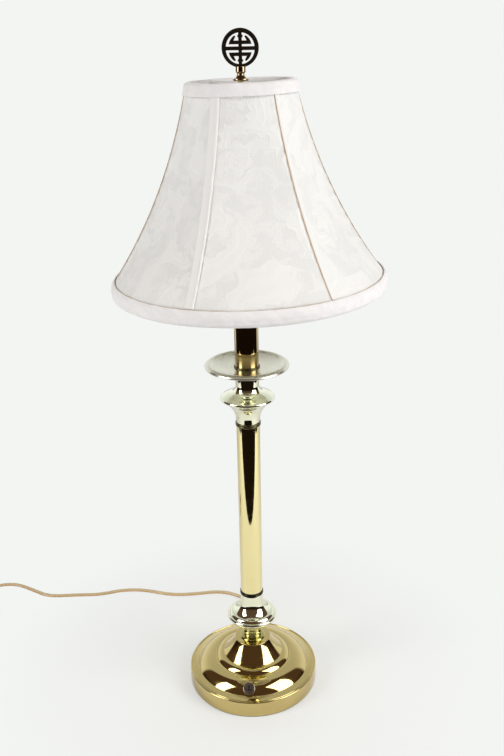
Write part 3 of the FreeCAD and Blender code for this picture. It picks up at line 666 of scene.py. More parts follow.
LINING_CLOTH = Cloth("white_lining", (0.82, 0.81, 0.77), roughness=0.85, weave=Weave.PLAIN,
                     thread=0.0009, contrast=0.08)
SEAM_CLOTH = Cloth("seam_strip", (0.87, 0.867, 0.845), roughness=0.7, weave=Weave.PLAIN,
                   thread=0.0011, contrast=0.03)
# The bead's cloth is lighter than the panels: partly a real bead, partly painted highlight on the seam
# lit from the right.
BEAD_AND_HIGHLIGHT_CLOTH = Cloth("seam_bead", (0.93, 0.92, 0.90), roughness=0.6, weave=Weave.PLAIN, thread=0.0008,
                   contrast=0.04)
# A thin tan line where the cloth goes under the bottom trim: painted shadow, not a real thread.
HEM_SHADOW_LINE = Cloth("hem_thread", (0.58, 0.46, 0.34), roughness=0.85, weave=Weave.PLAIN,
                   thread=0.0010, contrast=0.3)
# The piping's tan is partly real piping and partly painted shade on the seams' sides turned from the
# light.
TAN_PIPING_AND_SHADOW = Cloth("tan_piping", (0.62, 0.46, 0.30), roughness=0.8, weave=Weave.PLAIN,
                   thread=0.0010, contrast=0.2)


# ---- making meshes ------------------------------------------------------------------------------------
def circle_centre(first: Point2, middle: Point2, last: Point2) -> Point2:
    """Find the circle through three points.

    Args:
        first: One point.
        middle: Another.
        last: The third; the three don't lie in line.

    Returns:
        The circle's centre.
    """
    (ax, ay), (bx, by), (cx, cy) = first, middle, last
    d = 2 * (ax * (by - cy) + bx * (cy - ay) + cx * (ay - by))
    a2, b2, c2 = ax * ax + ay * ay, bx * bx + by * by, cx * cx + cy * cy
    return ((a2 * (by - cy) + b2 * (cy - ay) + c2 * (ay - by)) / d,
            (a2 * (cx - bx) + b2 * (ax - cx) + c2 * (bx - ax)) / d)


class Outline:
    """A turned piece's closed (radius, height) outline in millimetres, drawn point by point."""

    # A corner that turns more than this is softened, by a curve of these steps.  The curve takes up
    # to this share of the shorter side next to it, and is left out where it would be too small.
    SHARP = math.radians(14)
    CURVE = (0.0, 0.25, 0.5, 0.75, 1.0)
    SHARE = 0.4
    SMALLEST = 0.01

    def __init__(self, r: float, z: float) -> None:
        """Start the outline at a point."""
        self.runs: list[list[Point2]] = []
        self.start = self.here = (r, z)

    def to(self, *points: Point2) -> "Outline":
        """Draw straight lines.

        Args:
            points: Where they lead, in order.

        Returns:
            The outline, for the next stroke.
        """
        for point in points:
            self.runs.append([self.here, point])
            self.here = point
        return self

    def arc(self, middle: Point2, end: Point2, steps: int = 14) -> "Outline":
        """Draw an arc.

        Args:
            middle: A point that it passes through.
            end: Its end.
            steps: Straight pieces that it is made of.

        Returns:
            The outline, for the next stroke.
        """
        ox, oy = circle_centre(self.here, middle, end)
        start, half, sweep = (math.atan2(y - oy, x - ox) for x, y in (self.here, middle, end))
        sweep = math.remainder(sweep - start, math.tau)
        half = math.remainder(half - start, math.tau)
        if (half > 0) != (sweep > 0) or abs(half) > abs(sweep):
            sweep -= math.copysign(math.tau, sweep)
        radius = math.dist(self.here, (ox, oy))
        run = [(ox + radius * math.cos(start + sweep * i / steps),
                oy + radius * math.sin(start + sweep * i / steps)) for i in range(steps + 1)]
        self.runs.append(run[:-1] + [end])
        self.here = end
        return self

    def points(self, soften: float) -> list[Point2]:
        """Close the outline and soften each sharp corner with a small curve.

        Args:
            soften: The curve's reach on each side of the corner, in millimetres.

        Returns:
            The outline's points, in millimetres.
        """
        if math.dist(self.here, self.start) > MERGED:
            self.to(self.start)
        flat: list[Point2] = []
        for run in self.runs:
            flat += run[:-1]
        out: list[Point2] = []
        count = len(flat)
        for i, (x, y) in enumerate(flat):
            before, after = flat[i - 1], flat[(i + 1) % count]
            a = math.atan2(y - before[1], x - before[0])
            b = math.atan2(after[1] - y, after[0] - x)
            turn = abs(math.remainder(b - a, math.tau))
            room = self.SHARE * min(math.dist((x, y), before), math.dist((x, y), after))
            size = min(soften, room)
            if turn < self.SHARP or x < MERGED or size < self.SMALLEST:
                out.append((x, y))
                continue
            px, py = x - size * math.cos(a), y - size * math.sin(a)
            qx, qy = x + size * math.cos(b), y + size * math.sin(b)
            for t in self.CURVE:
                out.append(((1 - t) ** 2 * px + 2 * t * (1 - t) * x + t * t * qx,
                            (1 - t) ** 2 * py + 2 * t * (1 - t) * y + t * t * qy))
        return out


def new_piece(name: str, mesh: bpy.types.Mesh, finish: Finish,
              smooth: float = 40.0) -> bpy.types.Object:
    """Put a mesh in the scene as a piece.

    Args:
        name: The piece's name.
        mesh: Its mesh, in place.
        finish: What it is made of.
        smooth: Edges sharper than this, in degrees, stay sharp.

    Returns:
        The piece.
    """
    if not mesh.materials:
        mesh.materials.append(finish.material())
    mesh.shade_smooth()
    mesh.set_sharp_from_angle(angle=math.radians(smooth))
    piece = bpy.data.objects.new(name, mesh)
    bpy.context.collection.objects.link(piece)
    log.info("%s: %d faces", name, len(mesh.polygons))
    return piece


def mesh_from(name: str, build: Callable[[bmesh.types.BMesh], None]) -> bpy.types.Mesh:
    """Make a mesh with its doubles merged and its faces pointing outwards.

    Args:
        name: The mesh's name.
        build: What fills it with vertices and faces.

    Returns:
        The mesh.
    """
    mesh = bpy.data.meshes.new(name)
    work = bmesh.new()
    build(work)
    bmesh.ops.remove_doubles(work, verts=work.verts, dist=MERGED)
    bmesh.ops.recalc_face_normals(work, faces=work.faces)
    work.to_mesh(mesh)
    work.free()
    return mesh


def turned_mesh(name: str, outline: Outline, segments: int, soften: float) -> bpy.types.Mesh:
    """Spin an outline about the Z axis.

    Args:
        name: The mesh's name.
        outline: The closed outline.
        segments: Steps round the axis.
        soften: Size of the softened corners, in millimetres.

    Returns:
        A closed mesh, in metres.
    """
    profile = outline.points(soften)

    def build(work: bmesh.types.BMesh) -> None:
        """Spin the profile's points and join them with faces.

        Args:
            work: The bmesh that takes them.
        """
        rings = []
        for i in range(segments):
            a = math.tau * i / segments
            rings.append([work.verts.new((r * MM * math.cos(a), r * MM * math.sin(a), z * MM))
                          for r, z in profile])
        for i in range(segments):
            this, that = rings[i], rings[(i + 1) % segments]
            for j in range(len(profile)):
                k = (j + 1) % len(profile)
                if profile[j][0] < MERGED and profile[k][0] < MERGED:
                    continue
                work.faces.new((this[j], this[k], that[k], that[j]))

    return mesh_from(name, build)


def set_in_place(mesh: bpy.types.Mesh, place: Matrix) -> bpy.types.Mesh:
    """Move a mesh by a matrix."""
    mesh.transform(place)
    return mesh


def dress_node(node: str, finish: Finish) -> None:
    """Give a construction solid that stays visible its finish.

    Args:
        node: The solid's name.
        finish: What it is made of.
    """
    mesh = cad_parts[node].data
    mesh.materials.clear()
    mesh.materials.append(finish.material())
    log.info("%s: its own solid, dressed", node)


# ---- the base -----------------------------------------------------------------------------------------
@dataclass
class Base:
    """The weighted round base: rim, ledge, rounded shoulder, raised step, and the cone on it."""

    radius: float = 75.0
    rim_z: float = 20.2
    plate_z: float = 37.0
    cone_top_z: float = 57.2
    dome_centre: Point2 = (45.2, 8.7)
    dome_radius: float = 24.0
    dome_degrees: tuple[float, float, float] = (90, 60, 33)
    wall: float = 1.4
    hole: float = 5.0
    foot: float = 1.5

    def on_dome(self, radius: float, degrees: float) -> Point2:
        """Return a point over the shoulder's centre, at a radius and an angle from the level."""
        (x, z), a = self.dome_centre, math.radians(degrees)
        return (x + radius * math.cos(a), z + radius * math.sin(a))

    def shell_outline(self) -> Outline:
        """Draw the spun shell, outside and inside.

        Returns:
            Its closed outline.
        """
        r, rim, top, hole, wall = self.radius, self.rim_z, self.plate_z, self.hole, self.wall
        crest, middle, low = (self.on_dome(self.dome_radius, a) for a in self.dome_degrees)
        crest_in, middle_in, low_in = (self.on_dome(self.dome_radius - wall, a)
                                       for a in self.dome_degrees)
        return (Outline(r, self.foot).to((r, rim - 1.2))
                .arc((r - 0.35, rim - 0.35), (r - 1.2, rim), 6)
                .to((73.0, rim), (72.6, rim - 0.5), (72.1, rim - 0.1))
                .arc((68.7, 20.8), (65.5, 21.75)).to(low).arc(middle, crest, 40)
                .arc((44.2, 32.55), (43.2, 32.2), 6).arc((40.7, 35.1), (35.6, top), 18)
                .to((hole, top), (hole, top - wall), (35.2, top - wall), (39.8, 33.6), (43.4, 30.8))
                .to(crest_in).arc(middle_in, low_in, 20)
                .to((65.2, 20.2), (71.4, rim - wall), (r - wall, rim - wall),
                    (r - wall, self.foot)))

    def cone_outline(self) -> Outline:
        """Draw the cone that stands on the shell.

        Returns:
            Its closed outline.
        """
        plate, top, hole = self.plate_z, self.cone_top_z, self.hole
        under = top - self.wall
        return (Outline(34.8, plate).to((34.8, 37.6)).arc((27.2, 46.6), (20.9, 56.6), 24)
                .arc((20.75, 57.0), (20.3, top), 5).to((hole, top), (hole, under), (19.4, under))
                .arc((25.6, 46.0), (33.0, 37.4), 12).to((33.0, plate)))

    def build(self) -> None:
        """Spin the shell and the cone, and dress the solids that belong to the base."""
        for name, outline, segments, node in (
                ("base_spun_shell", self.shell_outline(), 224, "base_shell"),
                ("base_spun_cone", self.cone_outline(), 192, "base_cone")):
            piece = new_piece(name, turned_mesh(name, outline, segments, soften=0.3), TAN_BRASS)
            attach(piece, "lamp_body")
            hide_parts(node)
        for node, finish in (("base_felt_pad", FELT), ("base_weight", CAST_IRON),
                             ("base_washer", ZINC_STEEL), ("base_locknut", ZINC_STEEL),
                             ("threaded_rod", ZINC_STEEL), ("switch_leads", GOLD_PLASTIC),
                             ("switch_body", BLACK_PLASTIC), ("switch_bushing", SWITCH_NICKEL),
                             ("switch_ring_nut", SWITCH_NICKEL), ("switch_button", BLACK_PLASTIC),
                             ("cord_bushing", GOLD_PLASTIC)):
            dress_node(node, finish)


# ---- the stem -----------------------------------------------------------------------------------------
@dataclass
class TurnedPart:
    """One turned piece of the stem, which takes the place of the solid named by node."""

    node: str
    outline: Outline
    finish: Finish
    slot: str
    segments: int = 144
    soften: float = 0.2

    def build(self) -> None:
        """Make the piece and let it stand for its solid."""
        name = self.node + "_turned"
        mesh = turned_mesh(name, self.outline, self.segments, self.soften)
        piece = new_piece(name, mesh, self.finish)
        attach(piece, "lamp_body")
        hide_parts(self.node)


@dataclass
class Stem:
    """The column with its knop, vase, drip pan and candle tube.

    Each pair of heights is a piece's lower and upper end.  spigot is the radius of the rings' and
    the cap's plugs inside the tubes, and plug how far they reach in.
    """

    hole: float = 5.0
    tube: float = 12.7
    wall: float = 1.0
    spigot: float = 11.6
    plug: float = 3
    cone_top_z: float = 57.2
    knop_z: Point2 = (80.0, 117.0)
    column_z: Point2 = (122.0, 331.0)
    vase_z: Point2 = (335.6, 396.6)
    pan_radius: float = 44.4
    seat_z: float = 398.0
    candle_z: Point2 = (399.5, 474.0)

    def parts(self) -> list[TurnedPart]:
        """Draw the turned pieces.

        Returns:
            The pieces from the bottom up.
        """
        hole, tube, bore, spigot = self.hole, self.tube, self.tube - self.wall, self.spigot
        (knop_z, knop_top), (low, high) = self.knop_z, self.column_z
        (vase_z, vase_top), (candle_z, candle_top) = self.vase_z, self.candle_z
        spindle = (Outline(hole, self.cone_top_z).to((14.6, self.cone_top_z), (14.6, 58.0))
                   .arc((13.8, 58.9), (12.4, 59.2), 6)
                   .to((10.6, 59.6)).arc((11.3, 60.9), (10.4, 62.2)).arc((11.5, 64.4), (10.3, 66.6))
                   .to((9.6, 67.2)).arc((9.4, 68.2), (10.0, 69.2)).arc((11.3, 70.0), (11.6, 71.4))
                   .to((11.8, knop_z), (hole, knop_z)))
        knop = (Outline(hole, knop_z).to((13.0, knop_z)).arc((22.3, 82.2), (27.9, 86.0), 20)
                .arc((28.7, 88.0), (26.8, 90.3)).to((26.0, 90.6)).arc((24.8, 92.5), (22.1, 93.7))
                .to((21.5, 94.0)).arc((18.4, 96.2), (15.7, 99.2), 20)
                .arc((13.6, 103.4), (12.9, 108.5), 20).to((tube, knop_top), (hole, knop_top)))
        lower_ring = (Outline(hole, knop_top).to((12.5, knop_top))
                      .arc((13.45, 118.3), (12.7, 119.6)).arc((13.35, 120.7), (12.8, low))
                      .to((spigot, low), (spigot, low + self.plug), (hole, low + self.plug)))
        column = Outline(tube, low).to((tube, high), (bore, high), (bore, low))
        upper_ring = (Outline(hole, high - self.plug)
                      .to((spigot, high - self.plug), (spigot, high), (13.0, high))
                      .arc((13.75, 332.2), (13.0, 333.3)).arc((13.8, 334.4), (13.1, vase_z))
                      .to((hole, vase_z)))
        vase = (Outline(hole, vase_z).to((12.9, vase_z), (13.1, 341.0))
                .arc((17.5, 351.6), (27.2, 361.0), 26)
                .arc((29.0, 362.9), (27.2, 365.0)).arc((23.4, 366.9), (19.2, 368.3), 20)
                .arc((14.4, 371.6), (12.5, 378.5), 20).to((12.2, vase_top), (hole, vase_top)))
        pan = (Outline(hole, vase_top).to((13.0, vase_top)).arc((26.0, 397.5), (36.6, 399.6), 20)
               .arc((40.6, 400.6), (43.3, 398.6)).arc((44.3, 398.7), (self.pan_radius, 399.9), 8)
               .arc((41.6, 402.4), (37.2, 401.5), 20).to((36.3, 400.9))
               .arc((26.0, 398.8), (14.0, self.seat_z), 24).to((hole, self.seat_z)))
        seat = (Outline(hole, self.seat_z).to((13.9, self.seat_z), (13.9, 398.9))
                .arc((13.7, 399.3), (13.3, candle_z), 5).to((hole, candle_z)))
        candle = (Outline(tube, candle_z)
                  .to((tube, candle_top), (bore, candle_top), (bore, candle_z)))
        cap = (Outline(hole, candle_top - 4)
               .to((spigot, candle_top - 4), (spigot, candle_top), (13.2, candle_top))
               .arc((13.6, 475.2), (12.8, 476.4), 6).to((12.2, 477.0), (hole, 477.0)))
        return [
            TurnedPart("neck_spindle", spindle, OLIVE_BRASS, "polished_brass"),
            TurnedPart("lower_knop", knop, PALE_NICKEL, "pale_nickel", 192),
            TurnedPart("lower_check_ring", lower_ring, BLACK_RING, "dark_brass"),
            TurnedPart("column_tube", column, LEMON_BRASS, "polished_brass"),
            TurnedPart("upper_check_ring", upper_ring, OLIVE_RING, "dark_brass"),
            TurnedPart("upper_vase", vase, PALE_NICKEL, "pale_nickel", 192),
            TurnedPart("drip_pan", pan, SPUN_NICKEL, "polished_brass", 192),
            TurnedPart("candle_seat_ring", seat, OLIVE_RING, "dark_brass"),
            TurnedPart("candle_tube", candle, CANDLE_BRASS, "polished_brass"),
            TurnedPart("candle_cap", cap, CANDLE_BRASS, "polished_brass"),
        ]

    def build(self) -> None:
        """Make every piece of the stem."""
        for part in self.parts():
            part.build()


# ---- socket, bulb, harp and the shade's wires ---------------------------------------------------------
@dataclass
class LightFittings:
    """The socket, bulb, harp and the shade's wires, which keep their construction solids."""

    finishes: dict[str, Finish] = field(default_factory=lambda: {
        "harp_saddle": HARP_BRASS, "socket_cap": TAN_BRASS, "socket_shell": TAN_BRASS,
        "socket_insulator": FIBRE, "socket_body": BLACK_PLASTIC, "socket_screw_shell": SCREW_METAL,
        "socket_contact": TAN_BRASS, "bulb_contact": SCREW_METAL, "bulb_cap": SCREW_METAL,
        "bulb_glass": CLEAR_GLASS, "bulb_stem": CLEAR_GLASS,
        "harp_leg_left": HARP_BRASS, "harp_leg_right": HARP_BRASS, "harp_stud": HARP_BRASS,
        "harp_sleeve_left": HARP_BRASS, "harp_sleeve_right": HARP_BRASS,
        "shade_spider": FRAME_WIRE, "shade_top_ring": FRAME_WIRE, "shade_bottom_ring": FRAME_WIRE,
        "shade_ribs": FRAME_WIRE})

    def build(self) -> None:
        """Dress the solids."""
        for node, finish in self.finishes.items():
            dress_node(node, finish)


# ---- the finial ---------------------------------------------------------------------------------------
@dataclass
class Finial:
    """The fretted medallion on its turned stem.

    Each of the fret's four windows lies within hole_radius, beside the level bar and the upright,
    which are given by half their width.  arm is the lower and upper edge of the window's arm, and
    drop is how far the bars' crossing lies under the disc's middle.
    """

    middle_z: float = 713.0
    radius: float = 17.3
    hole_radius: float = 13.3
    thickness: float = 3.0
    bevel: float = 0.35
    drop: float = 0.5
    bar: float = 1.7
    upright: float = 1.65
    arm: Point2 = (3.55, 6.8)
    rim_steps: int = 16
    disc_steps: int = 96

    def window(self) -> list[Point2]:
        """Draw the fret's upper right window.

        Returns:
            Its outline, in millimetres from the bars' crossing.
        """
        across, up, ring = self.bar, self.upright, self.hole_radius
        low, high = self.arm
        corner = math.sqrt(ring ** 2 - (across - self.drop) ** 2)
        end = math.sqrt(ring ** 2 - up ** 2) + self.drop
        first = math.atan2(across - self.drop, corner)
        last = math.atan2(end - self.drop, up)
        turns = [first + (last - first) * i / self.rim_steps for i in range(self.rim_steps + 1)]
        rim = [(ring * math.cos(a), ring * math.sin(a) + self.drop) for a in turns]
        hook = Outline(10.6, low).arc((8.8, 8.0), (5.2, 11.3), 8).runs[0]
        arm = [(up, 12.3), (2.8, 10.6), (up, 9.0), (up, high), (6.0, high), (5.7, 7.4), (4.1, 10.3)]
        return [(up, across)] + rim + arm + hook[::-1] + [(up, low)]

    def medallion(self) -> bpy.types.Mesh:
        """Cut the four windows out of a disc and give every edge a small bevel.

        Returns:
            The medallion, upright and in its place.
        """
        data = bpy.data.curves.new("finial_fret", "CURVE")
        data.dimensions = "2D"
        data.fill_mode = "BOTH"
        data.extrude = (self.thickness / 2 - self.bevel) * MM
        data.bevel_depth = self.bevel * MM
        data.bevel_resolution = 2
        data.offset = -self.bevel * MM
        turns = [math.tau * i / self.disc_steps for i in range(self.disc_steps)]
        disc = [(self.radius * math.cos(a), self.radius * math.sin(a)) for a in turns]
        window = self.window()
        outlines = [disc]
        for side in (1, -1):
            for way in (1, -1):
                outlines.append([(x * side, (z * way) - self.drop) for x, z in window])
        for outline in outlines:
            spline = data.splines.new("POLY")
            spline.points.add(len(outline) - 1)
            for point, (x, z) in zip(spline.points, outline):
                point.co = (x * MM, z * MM, 0.0, 1.0)
            spline.use_cyclic_u = True
        holder = bpy.data.objects.new("finial_fret", data)
        fret = evaluated_mesh(holder)
        bpy.data.objects.remove(holder)
        set_in_place(fret, Matrix.Translation((0, 0, self.middle_z * MM))
                     @ Matrix.Rotation(math.pi / 2, 4, "X"))

        def build(work: bmesh.types.BMesh) -> None:
            """Copy the fret."""
            work.from_mesh(fret)

        mesh = mesh_from("finial_medallion", build)
        bpy.data.meshes.remove(fret)
        return mesh

    def build(self) -> None:
        """Make the medallion and the stem under it."""
        stem = (Outline(3.35, 683.8).to((7.2, 683.8)).arc((7.6, 684.8), (7.2, 686.0), 6)
                .to((5.6, 686.2)).arc((4.6, 687.5), (3.6, 689.0))
                .to((3.5, 690.2)).arc((4.0, 691.0), (4.7, 691.4))
                .to((4.85, 692.0), (4.85, 696.0)).arc((4.6, 696.7), (3.9, 696.9), 5)
                .to((0, 696.9), (0, 686.4), (3.35, 686.4)))
        for node, mesh, finish in (
                ("finial_medallion", self.medallion(), FINIAL_BRONZE),
                ("finial_stem", turned_mesh("finial_turned_stem", stem, 96, soften=0.25),
                 STEM_BRASS)):
            piece = new_piece(node + "_dressed", mesh, finish, smooth=50.0)
            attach(piece, "finial")
            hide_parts(node)


# ---- the shade ----------------------------------------------------------------------------------------
@dataclass
class Shade:
    """The bell shade: six damask panels on a wire frame, piped seams and two folded trims.

    The bell's outline is an arc through three points.  Between two ribs the cloth is pulled flat,
    most halfway down: flatness is the share of the way to the straight chord there, and
    flatness_fall how fast it lessens towards the two rings.  slope is the outline's length, in
    metres.  hem is the ring, (radius, height), of a thin tan line along the top of the bottom trim,
    which is painted shadow; the field after it holds the line's own radius and the height of its
    waves, in millimetres.
    """

    hub_z: float = 680.8
    lean: float = 1.3
    bell: tuple[Point2, Point2, Point2] = ((51.8, 682.0), (84.8, 584.5), (134.3, 499.0))
    slope: float = 0.207
    cover_z: Point2 = (682.0, 497.5)
    cover_wall: float = 0.8
    cover_flat: Point2 = (0.66, 0.22)
    lining_z: Point2 = (679.5, 497.5)
    lining_inset: float = 4.0
    lining_wall: float = 0.5
    lining_flat: Point2 = (0.62, 0.22)
    rib_azimuths: tuple[float, ...] = (-88.0, -22.5, 33.5, 99.0, 152.0, 219.0)
    flatness: float = 0.8
    flatness_fall: float = 1.2
    ripple_pace: float = 550.0
    ripple_width: float = 9.0
    across: int = 28
    down: int = 64
    trim_segments: int = 320
    seam_span: Point2 = (673.4, 499.8)
    hem: Point2 = (135.15, 499.3)
    hem_thread: Point2 = (0.38, 0.12)

    def __post_init__(self) -> None:
        """Work out the circle that the bell's outline follows, and write the panels' tree."""
        self.centre = circle_centre(*self.bell)
        self.bend = math.dist(self.bell[0], self.centre)
        self.recipe = self.panel_recipe()

    def leaned(self) -> Matrix:
        """Return the shade's lean about its hub."""
        hub = Matrix.Translation((0, 0, self.hub_z * MM))
        return hub @ Matrix.Rotation(math.radians(-self.lean), 4, "Y") @ hub.inverted()

    def radius(self, z: float, inset: float = 0.0) -> float:
        """Return the bell's radius at a height, moved inwards square to the cloth."""
        return self.centre[0] - math.sqrt((self.bend + inset) ** 2 - (z - self.centre[1]) ** 2)

    def panel_recipe(self) -> Recipe:
        """Write the tree that bends one grid of cloth to the bell, between two ribs.

        Returns:
            The recipe; its UV map is the place in the cloth, in metres.
        """
        recipe = Recipe("bell_panel")
        sheet = recipe.sheet
        start, end = recipe.number("Start azimuth", 0.0), recipe.number("End azimuth", 60.0)
        top, bottom = recipe.number("Top", 0.68), recipe.number("Bottom", 0.5)
        inset, slack = recipe.number("Inset", 0.0), recipe.number("Slack", 0.0)
        flat, shift = recipe.number("Flatness", 0.8), recipe.number("Cloth shift", 0.0)
        grid = sheet.make("GeometryNodeMeshGrid", None, {
            "Size X": 1.0, "Size Y": 1.0,
            "Vertices X": self.across + 1, "Vertices Y": self.down + 1})
        x, y, _ = sheet.split(sheet.node("GeometryNodeInputPosition"))
        across, down = x + 0.5, 0.5 - y
        z = top + (bottom - top) * down
        near = sheet.maths("MINIMUM", across, 1.0 - across) * self.ripple_width
        swell = sheet.maths("SINE", down * math.pi)
        wave = sheet.maths("SINE", z * self.ripple_pace + shift * 8.0) * swell
        depth = inset + slack * wave * sheet.maths("EXPONENT", -(near * near))
        bend = self.bend * MM + depth
        lift = z - self.centre[1] * MM
        radius = self.centre[0] * MM - (bend * bend - lift * lift) ** 0.5
        half = (end - start) * (math.pi / 360.0)
        off = half * 2.0 * (across - 0.5)
        pulled = flat * sheet.maths("MAXIMUM", swell, 0.0001) ** self.flatness_fall
        chord = sheet.maths("COSINE", half) / sheet.maths("COSINE", off)
        radius = radius * (1.0 - pulled + pulled * chord)
        angle = start * (math.pi / 180.0) + half * 2.0 * across
        place = sheet.join(radius * sheet.maths("SINE", angle),
                           -radius * sheet.maths("COSINE", angle), z)
        thread = sheet.join((across - 0.5) * half * 2.0 * radius + shift,
                            down * self.slope + shift * 0.6, 0.0)
        mapped = sheet.node("GeometryNodeStoreNamedAttribute",
                            {"data_type": "FLOAT2", "domain": "CORNER"},
                            {"Geometry": Wire(sheet, grid.outputs["Mesh"]), "Name": "UVMap",
                             "Value": thread})
        bent = sheet.node("GeometryNodeSetPosition", None, {"Geometry": mapped, "Position": place})
        recipe.close(bent, DAMASK)
        return recipe

    def skin(self, name: str, edges: Point2, inset: float, slack: float,
             finish: Finish) -> bpy.types.Mesh:
        """Make one skin of the bell, panel by panel, with a UV map in metres.

        Args:
            name: The mesh's name.
            edges: Upper and lower edge, in millimetres.
            inset: Distance inside the bell's outline, in millimetres.
            slack: Depth of the cloth's ripples near the seams, in millimetres.
            finish: The cloth.

        Returns:
            The skin; neighbouring panels share their edge, and each is its own island of cloth.
        """
        work = bmesh.new()
        ribs = self.rib_azimuths + (self.rib_azimuths[0] + 360.0,)
        for i, (start, end) in enumerate(zip(ribs, ribs[1:])):
            panel = self.recipe.grow(f"{name}_panel", {
                "Start azimuth": start, "End azimuth": end,
                "Top": edges[0] * MM, "Bottom": edges[1] * MM,
                "Inset": inset * MM, "Slack": slack * MM, "Flatness": self.flatness,
                "Cloth shift": 0.37 * i + 0.05})
            work.from_mesh(panel)
            bpy.data.meshes.remove(panel)
        bmesh.ops.remove_doubles(work, verts=work.verts, dist=PANELS_MERGED)
        mesh = bpy.data.meshes.new(name)
        work.normal_update()
        # The skin is open, so its faces are turned by where most of them point.
        if sum(f.normal.xy.dot(f.calc_center_median().xy) for f in work.faces) < 0:
            bmesh.ops.reverse_faces(work, faces=work.faces)
        work.to_mesh(mesh)
        work.free()
        mesh.materials.clear()
        mesh.materials.append(finish.material())
        return mesh

    def cloth(self, name: str, mesh: bpy.types.Mesh, finish: Finish, wall: float, node: str,
              flat: Point2) -> None:
        """Give a skin its thickness, its lean and its place in the frame.

        Args:
            name: The piece's name.
            mesh: The skin.
            finish: The cloth.
            wall: The cloth's thickness, in millimetres.
            node: The construction solid that it stands for.
            flat: The cloth's flat size, in metres; not used.
        """
        piece = new_piece(name, mesh, finish, smooth=60.0)
        solid = piece.modifiers.new("thickness", "SOLIDIFY")
        solid.thickness = wall * MM
        solid.offset = -1.0
        mesh.transform(self.leaned())
        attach(piece, "shade")
        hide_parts(node)

    def trim(self, name: str, outline: Outline, gather: float, count: int) -> bpy.types.Mesh:
        """Spin a folded trim and gather its cloth a little.

        Args:
            name: The mesh's name.
            outline: The fold's section.
            gather: Depth of the gathers, in millimetres.
            count: Gathers round the shade.

        Returns:
            The trim, leaned with the shade.
        """
        mesh = turned_mesh(name, outline, self.trim_segments, soften=0.4)
        for vert in mesh.vertices:
            a = math.atan2(vert.co.y, vert.co.x)
            wave = (math.sin(a * count + vert.co.z * 500)
                    + 0.6 * math.sin(a * round(count * 1.7) + 2.0) + 0.5 * math.sin(a * 5 + 1.0))
            r = math.hypot(vert.co.x, vert.co.y)
            out = gather * MM * wave
            vert.co.x *= (r + out) / r
            vert.co.y *= (r + out) / r
            vert.co.z += 0.5 * gather * MM * math.sin(a * 7 + 0.6)
        return set_in_place(mesh, self.leaned())

    def band(self, name: str, mesh: bpy.types.Mesh, node: str) -> bpy.types.Object:
        """Put a trim on the shade in place of its construction solid.

        Args:
            name: The piece's name.
            mesh: The trim.
            node: The construction solid that it stands for.

        Returns:
            The piece.
        """
        piece = new_piece(name, mesh, TRIM_CLOTH, smooth=60.0)
        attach(piece, "shade")
        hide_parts(node)
        return piece

    def build(self) -> None:
        """Make the shade's cloth, its trims and its seams; its wire frame keeps its solids."""
        cover = self.skin("shade_damask", self.cover_z, inset=0.0, slack=0.25, finish=DAMASK)
        self.cloth("shade_damask", cover, DAMASK, self.cover_wall, "shade_cover",
                   self.cover_flat)
        lining = self.skin("shade_lining_cloth", self.lining_z, self.lining_inset, slack=0.4,
                           finish=LINING_CLOTH)
        self.cloth("shade_lining_cloth", lining, LINING_CLOTH, self.lining_wall, "shade_lining",
                   self.lining_flat)
        top = (Outline(54.6, 673.2).to((55.8, 673.2)).arc((54.9, 678.2), (53.4, 683.0))
               .arc((50.5, 684.7), (47.4, 683.9)).arc((46.4, 682.4), (46.0, 680.5))
               .to((46.0, 676.0), (46.7, 676.0), (46.7, 680.5)).arc((47.3, 682.6), (48.4, 683.7))
               .to((52.2, 683.7), (52.4, 682.0)))
        self.band("shade_top_band", self.trim("shade_top_band", top, gather=0.10, count=23),
                  "shade_top_trim")
        bottom = (Outline(135.6, 497.4).to((134.8, 499.1), (135.8, 499.5))
                  .arc((138.8, 495.2), (139.2, 489.6)).arc((138.0, 485.6), (134.7, 484.0))
                  .arc((130.7, 485.0), (129.0, 488.6))
                  .to((129.0, 496.6), (129.9, 496.6), (130.1, 492.4), (136.2, 492.4)))
        trim = self.trim("shade_bottom_band", bottom, gather=0.14, count=61)
        piece = self.band("shade_bottom_band", trim, "shade_bottom_trim")
        self.seams()

    def rib_recipe(self, finish: Finish) -> Recipe:
        """Write the tree that lays one bar along the bell and repeats it at every seed point.

        Args:
            finish: What the bars are made of.

        Returns:
            The recipe; its seeds are points beside the axis, each towards a rib's azimuth.
        """
        recipe = Recipe("bell_ribs_" + finish.name)
        sheet = recipe.sheet
        top_r, top_z = recipe.number("Top radius", 0.055), recipe.number("Top", 0.671)
        mid_r, mid_z = recipe.number("Middle radius", 0.08), recipe.number("Middle", 0.58)
        low_r, low_z = recipe.number("Bottom radius", 0.13), recipe.number("Bottom", 0.5)
        half, rise = recipe.number("Half width", 0.002), recipe.number("Rise", 0.0005)
        side = recipe.number("Sideways", 0.0)
        line = sheet.node("GeometryNodeCurveArc", {"mode": "POINTS"}, {
            "Resolution": 56, "Start": sheet.join(side, -top_r, top_z),
            "Middle": sheet.join(side, -mid_r, mid_z),
            "End": sheet.join(side, -low_r, low_z)}, "Curve")
        upright = sheet.node("GeometryNodeSetCurveNormal", {"mode": "Z_UP"}, {"Curve": line})
        ring = sheet.node("GeometryNodeCurvePrimitiveCircle", None,
                          {"Resolution": 14, "Radius": 1.0}, "Curve")
        section = sheet.node("GeometryNodeTransform", None,
                             {"Geometry": ring, "Scale": sheet.join(half, rise, 1.0)})
        bar = sheet.node("GeometryNodeCurveToMesh", None,
                         {"Curve": upright, "Profile Curve": section, "Fill Caps": True})
        x, y, _ = sheet.split(sheet.node("GeometryNodeInputPosition"))
        turn = sheet.join(0.0, 0.0, sheet.maths("ARCTAN2", y, x) + math.pi / 2)
        points = Wire(sheet, recipe.entry.outputs[0])
        spread = sheet.node("GeometryNodeInstanceOnPoints", None,
                            {"Points": points, "Instance": bar, "Rotation": turn})
        recipe.close(spread, finish)
        return recipe

